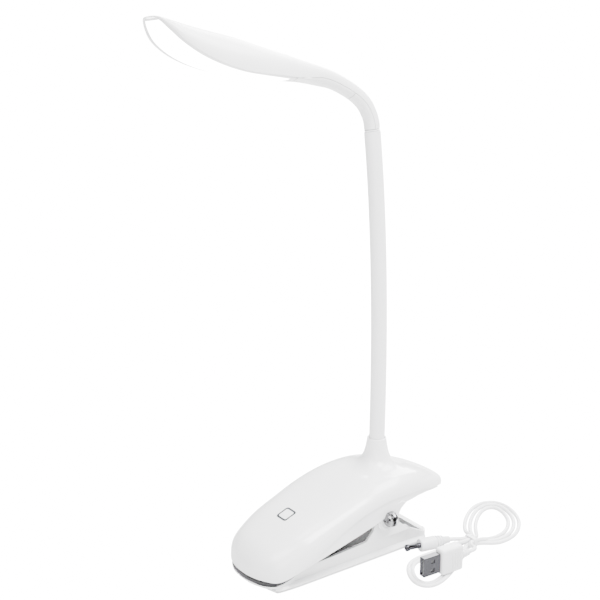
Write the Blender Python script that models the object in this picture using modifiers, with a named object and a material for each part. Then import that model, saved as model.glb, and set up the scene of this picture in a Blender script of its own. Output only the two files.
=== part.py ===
"""Clip-on reading lamp with a leaf-shaped head on a gooseneck, and its charging lead.

Lengths are in millimetres until MM turns them into metres. The floor is z = 0, the nose of
the clip points along -Y, and the lamp is symmetric about x = 0 below the gooseneck.
"""

import math

import bmesh
import bpy
from mathutils import Euler, Matrix, Vector

MM = 0.001
GAP = 0.3

# The clip turns about the pivot, given as (y, z).
PIVOT = (27.5, 28.0)
BOLT_RADIUS = 2.0
EAR_RADIUS = 8.0
LOWER_EAR_OUTSIDE = 24.6
UPPER_EAR_OUTSIDE = 27.0
EAR_THICKNESS = 2.0

# Upper jaw: one dome over one under-shell. Stations are (y, half width, rim z, ridge z).
DOME_STATIONS = [
    (-60.5, 0.0, 9.0, 9.8),
    (-59.6, 8.5, 9.0, 14.0),
    (-56.6, 17.0, 9.0, 19.5),
    (-51.0, 24.2, 9.2, 25.0),
    (-42.0, 27.9, 12.6, 30.0),
    (-32.0, 29.5, 17.9, 34.8),
    (-18.0, 29.8, 25.4, 39.8),
    (-4.0, 30.0, 32.4, 44.4),
    (10.0, 29.6, 37.0, 48.4),
    (24.0, 28.6, 39.2, 51.0),
    (38.0, 26.8, 39.0, 51.6),
    (52.0, 23.4, 36.8, 49.2),
    (64.0, 19.0, 33.8, 45.4),
    (75.0, 14.2, 30.2, 40.2),
    (84.0, 9.4, 27.2, 34.8),
    (90.0, 4.8, 25.4, 30.0),
    (92.8, 0.0, 24.8, 26.2),
]
DOME_WALL = 1.8
DOME_ROWS_PER_STATION = 2
DOME_COLUMNS = 18
DOME_FULLNESS = 0.67

# Lower edge of the upper jaw, as (y, z).
JAW_LINE = [
    (-52.0, 9.4),
    (-46.0, 10.6),
    (-31.0, 16.2),
    (-4.0, 23.0),
    (16.0, 27.4),
    (30.0, 31.0),
    (41.0, 33.6),
    (55.0, 33.0),
    (66.0, 31.0),
    (80.0, 27.2),
    (88.0, 24.9),
]
COVER_START = -52.0
COVER_END = 83.0
COVER_FLOOR = 1.6
COVER_WALL = 1.9
SPRING_WELL_RADIUS = 9.0

# Lower jaw: a tray. Stations are (y, half width, wall top z).
TRAY_STATIONS = [
    (-59.6, 6.0, 5.9),
    (-58.0, 13.0, 6.0),
    (-54.5, 19.2, 6.4),
    (-49.5, 23.0, 8.2),
    (-42.0, 24.2, 11.2),
    (-31.5, 24.6, 15.2),
    (-10.0, 24.6, 15.4),
    (13.0, 24.6, 15.4),
    (40.0, 24.6, 18.0),
    (48.0, 24.6, 14.2),
    (57.0, 24.3, 9.4),
    (60.5, 23.2, 8.6),
    (62.5, 20.0, 8.6),
]
TRAY_WALL = 2.0
TRAY_FLOOR_TOP = 5.0
TRAY_BOTTOM = 2.9
TRAY_CREASE = 6.6
PLINTH_INSET = 1.8
NOSE_RISE = 0.14
NOSE_INSET = 0.3

# Gooseneck centre line: a cubic Bezier that leans a little forward and to the far side.
NECK_CURVE = [(0.0, 39.5, 62.0), (0.0, 40.8, 128.0), (-0.4, 39.6, 196.0), (-7.0, 37.6, 255.2)]
NECK_JOINTS = 6
FIRST_JOINT = 0.12
LAST_JOINT = 0.93
JOINT_CLEARANCE = 1.3
SLEEVE_RADIUS = 4.8
SLEEVE_BORE = 3.7
HOSE_RADIUS = 3.3
HOSE_BORE = 1.6
HOSE_TAIL = 19.4
SOCKET_TOP = 68.0
SOCKET_BORE = 5.2

# Small parts of the base.
UPPER_PAD_HALF_WIDTH = 19.5
UPPER_PAD_START = -57.0
UPPER_PAD_END = 12.0
PAD_SKIN = 1.2
LOWER_PAD_END = -31.0
FOOT_HEIGHT = 2.6
FOOT_FRONT = -50.0
NUT_RADIUS = 4.6
NUT_LENGTH = 7.0
SPRING_RADIUS = 5.6
SPRING_WIRE = 0.8
SPRING_HALF_LENGTH = 9.0
SPRING_FIRST_ANGLE = 25.0
SPRING_LAST_ANGLE = 1385.0
TOUCH_CENTRE = (0.0, -27.6, 36.2)
TOUCH_SLOPE = 20.5
TOUCH_HALF = 4.1
DC_SOCKET = (-25.0, 46.0, 43.6)
DC_SOCKET_RADIUS = 3.8

# Screws that hold the under-shell: (x, y) and the top of the boss that each one goes into.
COVER_SCREWS = [(10.0, 50.0, 47.6), (-10.0, 50.0, 47.6), (23.5, -2.0, 41.2), (-23.5, -2.0, 41.2)]
SCREW_HEAD = 2.4
SCREW_SHAFT = 1.2
BOSS_RADIUS = 3.2

# The charging lead, tied in a hank on the floor. Outlines are the middle of each band, in (x, y).
CORD_RADIUS = 1.25
FAR_BAND = [
    (41.9, 83.9), (41.2, 86.2), (35.8, 89.4), (25.8, 97.5), (16.5, 109.0), (11.0, 120.5), (12.0, 128.8),
    (18.6, 131.2), (30.5, 127.4), (39.6, 120.6), (47.0, 109.9), (48.8, 98.7), (48.0, 89.4), (46.0, 84.0),
]
FAR_BAND_WIDTH = 7.7
NEAR_BAND = [
    (41.9, 77.0), (41.4, 70.0), (42.0, 60.0), (41.6, 47.0), (42.6, 36.4), (50.2, 29.0), (59.0, 25.2),
    (63.9, 27.0), (63.2, 34.0), (59.4, 44.0), (52.4, 57.0), (47.4, 68.0), (46.0, 77.0),
]
NEAR_BAND_WIDTH = 5.1
BAND_END_WIDTH = 3.6
BAND_TAPER = 16.0
BAND_HEIGHT = 2.35
TIE_CENTRE = (43.8, 80.2, 3.6)
WAIST_SIZE = (7.6, 5.6, 4.8)
TIE_SIZE = (9.4, 3.2, 7.0)
DC_PLUG_REAR = (35.1, 69.9, 4.2)
DC_PLUG_FRONT = (30.8, 49.5, 4.5)
USB_MOUTH = (60.5, 25.0, 10.8)
USB_TURN = -3.4

# The head's own frame stands on the top of the gooseneck and is rolled towards +X.
HEAD_ROLL = 7.0
HEAD_PITCH = 3.4
HEAD_WALL = 1.3
HEAD_COLUMNS = 12
LEAF_FULLNESS = 0.85
PARTING_DROP = 0.8
DIFFUSER_WALL = 1.0
DIFFUSER_START = 3
DIFFUSER_END = 20
COVER_SPLIT = 8

# Leaf stations from the tip, in the head's frame, which has its tip towards -Y: the ridge point
# (y, z), the rim point (y, z), the window's bulge below the rim (dy, dz) and the half width.
LEAF_STATIONS = [
    (-134.6, 77.6, -134.6, 77.6, 0.0, 0.0, 0.0),
    (-132.6, 78.1, -132.4, 76.4, 0.0, -0.2, 8.6),
    (-129.0, 77.0, -129.0, 70.8, 0.0, -0.3, 14.0),
    (-124.5, 75.2, -124.5, 64.7, 0.0, -0.4, 17.3),
    (-117.0, 72.3, -117.0, 58.1, 0.0, -0.5, 18.9),
    (-108.0, 69.1, -108.0, 52.5, 0.0, -0.6, 19.4),
    (-98.0, 65.8, -98.0, 47.9, 0.0, -0.7, 19.0),
    (-88.0, 62.4, -88.0, 44.5, 0.0, -0.9, 17.8),
    (-77.0, 58.1, -77.0, 41.9, 0.0, -1.2, 15.8),
    (-65.0, 53.4, -65.0, 39.5, -0.2, -1.7, 12.8),
    (-54.0, 49.3, -54.3, 37.3, -0.5, -2.0, 9.8),
    (-43.5, 45.0, -44.5, 35.8, -0.8, -2.6, 7.6),
]

# Neck stations up from the leaf: centre (y, z), the ridge side's angle, and the radius.
NECK_STATIONS = [
    (-32.9, 35.0, 68.0, 5.4),
    (-23.2, 31.0, 60.0, 4.8),
    (-12.1, 24.0, 48.0, 4.6),
    (-4.6, 16.9, 34.0, 4.5),
    (-1.0, 9.8, 19.0, 4.4),
    (0.1, 4.6, 6.0, 4.4),
    (0.0, 1.1, 0.0, 4.4),
]
BOARD_SIZE = (16.0, 56.0, 1.2)
BOARD_CENTRE = (0.0, -90.0, 56.0)
BOARD_SLOPE = 19.6
LEDS_PER_ROW = 7


def millimetres(point):
    return Vector(point) * MM


def clear_scene():
    for item in list(bpy.data.objects):
        bpy.data.objects.remove(item, do_unlink=True)


def new_collection(name):
    collection = bpy.data.collections.new(name)
    bpy.context.scene.collection.children.link(collection)
    return collection


def new_material(name, colour, roughness, metallic=0.0):
    material = bpy.data.materials.new(name)
    material.use_nodes = True
    shader = material.node_tree.nodes["Principled BSDF"]
    shader.inputs["Base Color"].default_value = (*colour, 1.0)
    shader.inputs["Roughness"].default_value = roughness
    shader.inputs["Metallic"].default_value = metallic
    return material


def smooth(mesh, sharp_degrees=35):
    mesh.shade_smooth()
    mesh.set_sharp_from_angle(angle=math.radians(sharp_degrees))


def mesh_object(name, points, faces, material, collection):
    """An object from points in millimetres, with its faces turned outwards."""
    mesh = bpy.data.meshes.new(name)
    mesh.from_pydata([millimetres(point) for point in points], [], faces)
    work = bmesh.new()
    work.from_mesh(mesh)
    bmesh.ops.recalc_face_normals(work, faces=work.faces)
    work.to_mesh(mesh)
    work.free()
    smooth(mesh)
    item = bpy.data.objects.new(name, mesh)
    mesh.materials.append(material)
    collection.objects.link(item)
    return item


def catmull_rom(stations, steps):
    """Every station and steps - 1 rows between each pair, on one smooth curve."""
    rows = []
    last = len(stations) - 1
    for index in range(last):
        four = [stations[max(0, min(last, index + shift))] for shift in (-1, 0, 1, 2)]
        for step in range(steps):
            t = step / steps
            weights = (
                (-t**3 + 2 * t**2 - t) / 2,
                (3 * t**3 - 5 * t**2 + 2) / 2,
                (-3 * t**3 + 4 * t**2 + t) / 2,
                (t**3 - t**2) / 2,
            )
            rows.append(tuple(sum(w * s[k] for w, s in zip(weights, four)) for k in range(len(four[0]))))
    rows.append(tuple(stations[-1]))
    return rows


def read_line(line, y):
    """The value of a list of (y, value, ...) at y, by straight interpolation."""
    if y <= line[0][0]:
        return line[0][1]
    for (y0, *low), (y1, *high) in zip(line, line[1:]):
        if y <= y1:
            return low[0] + (high[0] - low[0]) * (y - y0) / (y1 - y0)
    return line[-1][1]


def loft(name, rings, material, collection):
    """A closed solid through rings of equal length, with a flat cap at each end."""
    count = len(rings[0])
    points = [point for ring in rings for point in ring]
    faces = [tuple(range(count)), tuple(range(len(points) - count, len(points)))]
    for row in range(len(rings) - 1):
        for k in range(count):
            a = row * count + k
            b = row * count + (k + 1) % count
            faces.append((a, b, b + count, a + count))
    return mesh_object(name, points, faces, material, collection)


def thick_grid(name, outer, inner, material, collection):
    """A closed wall between two grids of rows. A row of one point is a pole."""
    points = []
    sides = []
    for grid in (outer, inner):
        starts = []
        for row in grid:
            starts.append((len(points), len(row)))
            points.extend(row)
        sides.append(starts)
    faces = []
    for starts in sides:
        for (a, a_count), (b, b_count) in zip(starts, starts[1:]):
            for k in range(max(a_count, b_count) - 1):
                corners = [a + min(k, a_count - 1), a + min(k + 1, a_count - 1)]
                corners += [b + min(k + 1, b_count - 1), b + min(k, b_count - 1)]
                faces.append(tuple(dict.fromkeys(corners)))
    rows = list(zip(*sides))
    for ((a, a_count), (c, _)), ((b, b_count), (d, _)) in zip(rows, rows[1:]):
        faces.append((a, b, d, c))
        faces.append((a + a_count - 1, b + b_count - 1, d + b_count - 1, c + a_count - 1))
    for (a, a_count), (c, _) in (rows[0], rows[-1]):
        for k in range(a_count - 1):
            faces.append((a + k, a + k + 1, c + k + 1, c + k))
    return mesh_object(name, points, faces, material, collection)


def turned(name, profile, material, collection, steps=16):
    """A profile of (radius, height) turned about Z, running down its outer side."""
    mesh = bpy.data.meshes.new(name)
    count = len(profile)
    closed = min(radius for radius, _ in profile) > 0
    edges = [(k, k + 1) for k in range(count - 1)]
    if closed:
        edges.append((count - 1, 0))
    mesh.from_pydata([millimetres((radius, 0, height)) for radius, height in profile], edges, [])
    item = bpy.data.objects.new(name, mesh)
    collection.objects.link(item)
    screw = item.modifiers.new("turn", "SCREW")
    screw.steps = steps
    screw.render_steps = steps
    screw.use_merge_vertices = True
    screw.merge_threshold = 0.00001
    screw.use_smooth_shade = True
    mesh.materials.append(material)
    return item


def place(item, location, direction=(0, 0, 1)):
    """Moves an object to a point in millimetres, with its Z axis along the direction."""
    item.location = millimetres(location)
    item.rotation_euler = Vector(direction).to_track_quat("Z", "Y").to_euler()
    return item


def outline_plate(name, outlines, thickness, material, collection):
    """A flat outline in X and Y, as thick as given, centred on z = 0. Later outlines are holes."""
    curve = bpy.data.curves.new(name, "CURVE")
    curve.dimensions = "2D"
    curve.fill_mode = "BOTH"
    curve.extrude = thickness / 2 * MM
    for outline in outlines:
        spline = curve.splines.new("POLY")
        spline.points.add(len(outline) - 1)
        for point, (x, y) in zip(spline.points, outline):
            point.co = (x * MM, y * MM, 0.0, 1.0)
        spline.use_cyclic_u = True
    curve.materials.append(material)
    item = bpy.data.objects.new(name, curve)
    collection.objects.link(item)
    return item


def to_mesh(item):
    """The same shape as a welded mesh, which can take or be a Boolean."""
    graph = bpy.context.evaluated_depsgraph_get()
    bpy.context.view_layer.update()
    mesh = bpy.data.meshes.new_from_object(item.evaluated_get(graph))
    work = bmesh.new()
    work.from_mesh(mesh)
    bmesh.ops.remove_doubles(work, verts=work.verts, dist=0.000001)
    bmesh.ops.recalc_face_normals(work, faces=work.faces)
    work.to_mesh(mesh)
    work.free()
    solid = bpy.data.objects.new(item.name, mesh)
    solid.matrix_world = item.matrix_world.copy()
    for collection in item.users_collection:
        collection.objects.link(solid)
    name = item.name
    bpy.data.objects.remove(item, do_unlink=True)
    solid.name = name
    return solid


def combine(item, other, operation):
    """Adds other to item with a Boolean, and hides it as a helper."""
    modifier = item.modifiers.new(f"{operation.lower()} {other.name}", "BOOLEAN")
    modifier.operation = operation
    modifier.object = other
    modifier.solver = "EXACT"
    other.hide_render = True
    other.display_type = "WIRE"


def arc(centre, radius, start, end, steps):
    """Points on an arc, in degrees."""
    angles = [math.radians(start + (end - start) * k / steps) for k in range(steps + 1)]
    return [(centre[0] + radius * math.cos(a), centre[1] + radius * math.sin(a)) for a in angles]


def along_x(item, x):
    """Stands an outline of (y, z) upright at x: its own X becomes Y, and its Y becomes Z."""
    item.matrix_world = Matrix.Translation((x * MM, 0, 0)) @ Matrix(
        ((0, 0, 1, 0), (1, 0, 0, 0), (0, 1, 0, 0), (0, 0, 0, 1))
    )
    return item


def rod_x(name, y, z, radius, low, high, material, collection, steps=16):
    """A round rod along X between two x values."""
    profile = [(0.0, high), (radius, high), (radius, low), (0.0, low)]
    item = turned(name, profile, material, collection, steps)
    return place(item, (0, y, z), (1, 0, 0))


clear_scene()
PARTS = new_collection("clip_on_reading_lamp")
CUTTERS = new_collection("cutters")
WHITE_GLOSS = new_material("gloss_white_plastic", (0.86, 0.87, 0.88), 0.18)
WHITE_SATIN = new_material("satin_white_silicone", (0.84, 0.85, 0.86), 0.45)
OPAL = new_material("opal_diffuser", (0.97, 0.97, 0.96), 0.3)
DARK_RUBBER = new_material("dark_rubber", (0.05, 0.05, 0.055), 0.7)
CHROME = new_material("chrome", (0.75, 0.76, 0.78), 0.1, 1.0)
STEEL = new_material("spring_steel", (0.45, 0.46, 0.48), 0.35, 1.0)
GREY_INK = new_material("grey_ring", (0.2, 0.21, 0.23), 0.4)
BOARD_GREEN = new_material("circuit_board", (0.03, 0.2, 0.09), 0.5)
CELL_BLUE = new_material("cell_sleeve", (0.08, 0.2, 0.5), 0.4)


def dome_section(y, width, rim, ridge):
    """One arch from the +X rim over the ridge to the -X rim."""
    points = []
    for k in range(DOME_COLUMNS + 1):
        angle = math.pi * k / DOME_COLUMNS
        across = math.copysign(abs(math.cos(angle)) ** DOME_FULLNESS, math.cos(angle))
        rise = math.sin(angle) ** DOME_FULLNESS
        points.append((width * across, y, rim + (ridge - rim) * rise))
    return points


def dome_grid(rows, inset):
    """The dome's rows, moved inwards by the inset, with a pole at the nose and at the tail."""
    last = len(rows) - 1
    grid = []
    for index, (y, width, rim, ridge) in enumerate(rows):
        moved = y + inset * (max(0.0, 1 - index / 4) - max(0.0, 1 - (last - index) / 4))
        if width <= 0:
            grid.append([(0.0, moved, (rim + ridge) / 2)])
            continue
        inner_ridge = max(ridge - inset, rim + 0.3)
        grid.append(dome_section(moved, max(width - inset, 0.2 * width), rim, inner_ridge))
    return grid


DOME_ROWS = catmull_rom(DOME_STATIONS, DOME_ROWS_PER_STATION)


def make_base_shell():
    outer = dome_grid(DOME_ROWS, 0.0)
    inner = dome_grid(DOME_ROWS, DOME_WALL)
    return thick_grid("base_shell", outer, inner, WHITE_GLOSS, PARTS)


def make_base_cover():
    """The under-shell of the upper jaw: a floor along the jaw line, and a skirt up to the dome."""
    rings = []
    for y, width, rim, _ in DOME_ROWS:
        if not COVER_START <= y <= COVER_END:
            continue
        low = read_line(JAW_LINE, y)
        top = low + COVER_FLOOR
        flush = rim - GAP > low + 0.8
        outside = width - (0.5 if flush else DOME_WALL + 1.8)
        skirt = rim - GAP if rim - GAP > low + 0.25 else low + 0.8
        inside = outside - COVER_WALL
        half = [(outside, low), (outside, skirt), (inside, skirt), (inside, top)]
        ring = [(x, y, z) for x, z in half] + [(-x, y, z) for x, z in reversed(half)]
        rings.append(ring)
    cover = loft("base_cover", rings, WHITE_GLOSS, PARTS)
    well = rod_x("spring_well", *PIVOT, SPRING_WELL_RADIUS, -24.9, 24.9, WHITE_GLOSS, CUTTERS, 32)
    combine(cover, well, "DIFFERENCE")
    for side in (-1, 1):
        ear = arc(PIVOT, EAR_RADIUS, -175, -5, 12)
        ear += [(41.0, 34.2), (38.0, 36.0), (14.0, 33.0), (13.0, 27.2)]
        centre = side * (UPPER_EAR_OUTSIDE - EAR_THICKNESS / 2)
        plate = outline_plate(f"ear_{side}", [ear], EAR_THICKNESS, WHITE_GLOSS, CUTTERS)
        combine(cover, to_mesh(along_x(plate, centre)), "UNION")
        near, far = sorted((side * UPPER_EAR_OUTSIDE, side * (UPPER_EAR_OUTSIDE + NUT_LENGTH)))
        pocket = rod_x(f"nut_pocket_{side}", *PIVOT, NUT_RADIUS + GAP, near, far, WHITE_GLOSS, CUTTERS)
        combine(cover, pocket, "DIFFERENCE")
    hole = rod_x("cover_bolt_hole", *PIVOT, BOLT_RADIUS + GAP, -30, 30, WHITE_GLOSS, CUTTERS)
    combine(cover, hole, "DIFFERENCE")
    return cover


def make_lower_jaw():
    rings = []
    for y, width, top in catmull_rom(TRAY_STATIONS, 2):
        crease = min(TRAY_CREASE, top - 1.2)
        floor = TRAY_FLOOR_TOP if y < 60.0 else top - 0.2
        bottom = TRAY_BOTTOM + max(0.0, -50.0 - y) * NOSE_RISE
        plinth = width - PLINTH_INSET - max(0.0, -50.0 - y) * NOSE_INSET
        half = [
            (plinth, bottom),
            (plinth, max(crease - 0.5, bottom + 0.2)),
            (width, crease),
            (width, top),
            (width - TRAY_WALL, top),
            (width - TRAY_WALL, min(floor, top - 0.2)),
        ]
        rings.append([(x, y, z) for x, z in half] + [(-x, y, z) for x, z in reversed(half)])
    jaw = loft("lower_jaw", rings, WHITE_GLOSS, PARTS)
    for side in (-1, 1):
        ear = [(13.0, 14.0), (18.5, 22.0)] + arc(PIVOT, EAR_RADIUS - 0.5, 165, 10, 12)
        ear += [(37.5, 22.0), (47.0, 14.0)]
        centre = side * (LOWER_EAR_OUTSIDE - EAR_THICKNESS / 2)
        plate = outline_plate(f"jaw_ear_{side}", [ear], EAR_THICKNESS, WHITE_GLOSS, CUTTERS)
        combine(jaw, to_mesh(along_x(plate, centre)), "UNION")
    hole = rod_x("jaw_bolt_hole", *PIVOT, BOLT_RADIUS + GAP, -30, 30, WHITE_GLOSS, CUTTERS)
    combine(jaw, hole, "DIFFERENCE")
    return jaw


def make_grip_pads():
    """Rubber pads: a strip under the upper jaw, and a wedge on the lower jaw that meets it."""
    rings = []
    for y, width, _, _ in DOME_ROWS:
        if not UPPER_PAD_START <= y <= UPPER_PAD_END:
            continue
        top = read_line(JAW_LINE, y) - GAP
        half = min(width - 3.0, UPPER_PAD_HALF_WIDTH)
        rings.append([(half, y, top - PAD_SKIN), (half, y, top), (-half, y, top), (-half, y, top - PAD_SKIN)])
    loft("upper_grip_pad", rings, DARK_RUBBER, PARTS)
    rings = []
    for y, width, wall in catmull_rom(TRAY_STATIONS, 2):
        if y > LOWER_PAD_END:
            break
        top = read_line(JAW_LINE, y) - 2 * GAP - PAD_SKIN
        inside = min(width - TRAY_WALL - 0.5, UPPER_PAD_HALF_WIDTH)
        edge = width - 0.9 if top > wall + 0.7 else inside + 0.1
        shelf = min(wall + GAP, top - 0.4)
        bottom = TRAY_FLOOR_TOP + GAP
        half = [(inside, bottom), (inside, shelf), (edge, shelf), (edge, top)]
        rings.append([(x, y, z) for x, z in half] + [(-x, y, z) for x, z in reversed(half)])
    loft("lower_grip_pad", rings, DARK_RUBBER, PARTS)


def make_foot_pad():
    rows = [row for row in catmull_rom(TRAY_STATIONS, 2) if row[0] > FOOT_FRONT - 0.1]
    side = [(width - PLINTH_INSET - 0.8, y) for y, width, _ in rows]
    side.insert(0, (side[0][0] - 7.0, side[0][1] - 2.0))
    outline = side + [(-x, y) for x, y in reversed(side)]
    pad = to_mesh(outline_plate("foot_pad", [outline], FOOT_HEIGHT, WHITE_SATIN, PARTS))
    pad.location.z = FOOT_HEIGHT / 2 * MM
    return pad


def make_pivot():
    """A steel rod through all four ears, with a domed cap nut on each end."""
    half = UPPER_EAR_OUTSIDE + 3.0
    rod_x("pivot_bolt", *PIVOT, BOLT_RADIUS, -half, half, STEEL, PARTS)
    dome = [(0.0, NUT_LENGTH)]
    dome += [(r, h + NUT_LENGTH - 4.2) for r, h in arc((0, 0), 4.2, 78, 12, 5)]
    profile = dome + [(NUT_RADIUS, 2.6), (NUT_RADIUS, 0.0), (BOLT_RADIUS + GAP, 0.0)]
    profile += [(BOLT_RADIUS + GAP, 3.6), (0.0, 3.6)]
    for name, side in (("cap_nut_near", 1), ("cap_nut_far", -1)):
        nut = turned(name, profile, CHROME, PARTS, 20)
        place(nut, (side * (UPPER_EAR_OUTSIDE + GAP), *PIVOT), (side, 0, 0))


def tube(name, points, radius, material, collection, resolution=2):
    curve = bpy.data.curves.new(name, "CURVE")
    curve.dimensions = "3D"
    curve.bevel_depth = radius * MM
    curve.bevel_resolution = resolution
    curve.use_fill_caps = True
    spline = curve.splines.new("POLY")
    spline.points.add(len(points) - 1)
    for point, place_mm in zip(spline.points, points):
        point.co = (*millimetres(place_mm), 1.0)
    curve.materials.append(material)
    item = bpy.data.objects.new(name, curve)
    collection.objects.link(item)
    return item


def make_torsion_spring():
    """Coils round the bolt, with a leg back to each jaw's tail."""
    y0, z0 = PIVOT
    steps = 53
    coil = []
    for k in range(steps + 1):
        angle = math.radians(SPRING_FIRST_ANGLE + (SPRING_LAST_ANGLE - SPRING_FIRST_ANGLE) * k / steps)
        x = -SPRING_HALF_LENGTH + 2 * SPRING_HALF_LENGTH * k / steps
        coil.append((x, y0 + SPRING_RADIUS * math.cos(angle), z0 + SPRING_RADIUS * math.sin(angle)))
    lower_leg = [(-SPRING_HALF_LENGTH, 52.0, 6.2), (-SPRING_HALF_LENGTH, 40.5, 13.4)]
    upper_leg = [(SPRING_HALF_LENGTH, 41.5, 31.2), (SPRING_HALF_LENGTH, 54.0, 31.2)]
    return tube("torsion_spring", lower_leg + coil + upper_leg, SPRING_WIRE, STEEL, PARTS)


def rounded_box(name, size, corner, material, collection):
    mesh = bpy.data.meshes.new(name)
    work = bmesh.new()
    bmesh.ops.create_cube(work, size=1.0)
    bmesh.ops.scale(work, vec=millimetres(size), verts=work.verts)
    work.to_mesh(mesh)
    work.free()
    mesh.materials.append(material)
    item = bpy.data.objects.new(name, mesh)
    collection.objects.link(item)
    if corner:
        bevel = item.modifiers.new("rounded edges", "BEVEL")
        bevel.width = corner * MM
        bevel.segments = 2
    return item


def tilt(item, location, degrees):
    """Places an object with its +Y end raised by the angle."""
    item.location = millimetres(location)
    item.rotation_euler = Euler((math.radians(degrees), 0, 0))
    return item


def make_inner_parts(shell):
    """What the base holds: cell, board, touch spring and charging socket."""
    tilt(rounded_box("battery_cell", (34.0, 36.0, 7.0), 1.2, CELL_BLUE, PARTS), (0, 0.0, 32.3), 14)
    tilt(rounded_box("control_board", (24.0, 24.0, 1.4), 0.0, BOARD_GREEN, PARTS), (0, -31.0, 25.6), 20)
    coil = []
    for k in range(37):
        angle = 2 * math.pi * k / 12
        coil.append((2.6 * math.cos(angle), 2.6 * math.sin(angle), 0.9 + 5.0 * k / 36))
    spring = tube("touch_spring", coil, 0.35, STEEL, PARTS)
    tilt(spring, (0, -26.6, 28.0), 20)
    profile = [(0.0, -1.0), (0.5, -1.0), (0.5, -8.0), (1.9, -8.0), (1.9, 0.0)]
    profile += [(DC_SOCKET_RADIUS, 0.0), (DC_SOCKET_RADIUS, -10.0), (0.0, -10.0)]
    socket = turned("dc_socket", profile, DARK_RUBBER, PARTS, 20)
    place(socket, DC_SOCKET, (-1, 0, 0))
    x, y, z = DC_SOCKET
    hole = rod_x("socket_hole", y, z, DC_SOCKET_RADIUS + GAP, x - 6.0, x + 12.0, WHITE_GLOSS, CUTTERS)
    combine(shell, hole, "DIFFERENCE")


def make_cover_screws(shell, cover):
    """Screws up through the under-shell's floor, each into a boss under the dome."""
    for index, (x, y, boss_top) in enumerate(COVER_SCREWS):
        floor = read_line(JAW_LINE, y)
        seat = floor + 0.5
        boss_foot = floor + COVER_FLOOR + GAP + 0.6
        bore = SCREW_SHAFT + GAP
        hole_top = floor + 10.0
        boss = [(0.0, boss_top), (BOSS_RADIUS, boss_top), (BOSS_RADIUS, boss_foot)]
        boss += [(bore, boss_foot), (bore, hole_top), (0.0, hole_top)]
        combine(shell, place(turned(f"boss_{index}", boss, WHITE_GLOSS, CUTTERS, 16), (x, y, 0)), "UNION")
        seat_radius = SCREW_HEAD + GAP
        stepped = [(0.0, boss_foot + 1.0), (bore, boss_foot + 1.0), (bore, seat), (seat_radius, seat)]
        stepped += [(seat_radius, floor - 4.0), (0.0, floor - 4.0)]
        hole = turned(f"screw_hole_{index}", stepped, WHITE_GLOSS, CUTTERS, 16)
        combine(cover, place(hole, (x, y, 0)), "DIFFERENCE")
        profile = [(0.0, 9.0), (SCREW_SHAFT, 9.0), (SCREW_SHAFT, -GAP), (SCREW_HEAD, -GAP)]
        profile += [(SCREW_HEAD, -1.7), (0.0, -1.7)]
        place(turned(f"cover_screw_{index}", profile, STEEL, PARTS, 16), (x, y, seat))


def make_touch_mark(shell):
    """A thin rounded-square ring set into the dome over the touch spring."""
    def square(half, corner):
        points = []
        for k, (sx, sy) in enumerate(((1, 1), (-1, 1), (-1, -1), (1, -1))):
            centre = (sx * (half - corner), sy * (half - corner))
            points += arc(centre, corner, 90 * k, 90 * k + 90, 4)
        return points

    outer = square(TOUCH_HALF, 1.6)
    inner = square(TOUCH_HALF - 0.75, 1.1)
    groove = [square(TOUCH_HALF + GAP, 1.8), square(TOUCH_HALF - 0.75 - GAP, 0.9)]
    cutter = to_mesh(outline_plate("touch_groove", groove, 2.4, WHITE_GLOSS, CUTTERS))
    tilt(cutter, TOUCH_CENTRE, TOUCH_SLOPE)
    combine(shell, cutter, "DIFFERENCE")
    ring = to_mesh(outline_plate("touch_ring", [outer, inner], 1.5, GREY_INK, PARTS))
    tilt(ring, TOUCH_CENTRE, TOUCH_SLOPE)


def add_socket(shell):
    """The trumpet that the gooseneck stands in, with its bore down through the dome."""
    _, y, _ = NECK_CURVE[0]
    outer = [(SOCKET_BORE + 0.9, SOCKET_TOP), (6.7, 64.0), (7.7, 60.0), (9.6, 56.4), (13.2, 53.0)]
    outer += [(17.5, 50.9), (15.0, 47.5), (SOCKET_BORE, 47.5)]
    trumpet = turned("trumpet", outer, WHITE_GLOSS, CUTTERS, 24)
    place(trumpet, (0, y, 0))
    combine(shell, trumpet, "UNION")
    profile = [(0, 75), (SOCKET_BORE, 75), (SOCKET_BORE, 40), (0, 40)]
    bore = turned("trumpet_bore", profile, WHITE_GLOSS, CUTTERS, 24)
    place(bore, (0, y, 0))
    combine(shell, bore, "DIFFERENCE")


def bezier(t):
    a, b, c, d = (Vector(point) for point in NECK_CURVE)
    s = 1 - t
    return s**3 * a + 3 * s * s * t * b + 3 * s * t * t * c + t**3 * d


def neck_stations():
    """The foot, every joint centre, and the top of the gooseneck."""
    step = (LAST_JOINT - FIRST_JOINT) / (NECK_JOINTS - 1)
    inner = [bezier(FIRST_JOINT + step * k) for k in range(NECK_JOINTS)]
    return [bezier(0.0)] + inner + [bezier(1.0)]


def make_gooseneck():
    """Straight lengths of sleeve over metal hose between neighbouring joints."""
    stations = neck_stations()
    for index, (low, high) in enumerate(zip(stations, stations[1:])):
        direction = (high - low).normalized()
        bottom = 0.0 if index == 0 else JOINT_CLEARANCE
        top = (high - low).length - (JOINT_CLEARANCE if index < NECK_JOINTS else 1.6)
        pieces = (
            ("sleeve", SLEEVE_RADIUS, SLEEVE_BORE, WHITE_SATIN, 16),
            ("hose", HOSE_RADIUS, HOSE_BORE, STEEL, 12),
        )
        for name, radius, bore, material, steps in pieces:
            foot = bottom - HOSE_TAIL if (name == "hose" and index == 0) else bottom
            profile = [(radius, top), (radius, foot), (bore, foot), (bore, top)]
            piece = turned(f"{name}_{index}", profile, material, PARTS, steps)
            place(piece, low, direction)
    corner = (HOSE_RADIUS + GAP) / math.cos(math.radians(30))
    profile = [(8.2, -15.0), (8.2, -18.6), (corner, -18.6), (corner, -15.0)]
    nut = turned("gooseneck_nut", profile, STEEL, PARTS, 6)
    place(nut, stations[0], stations[1] - stations[0])


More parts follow.
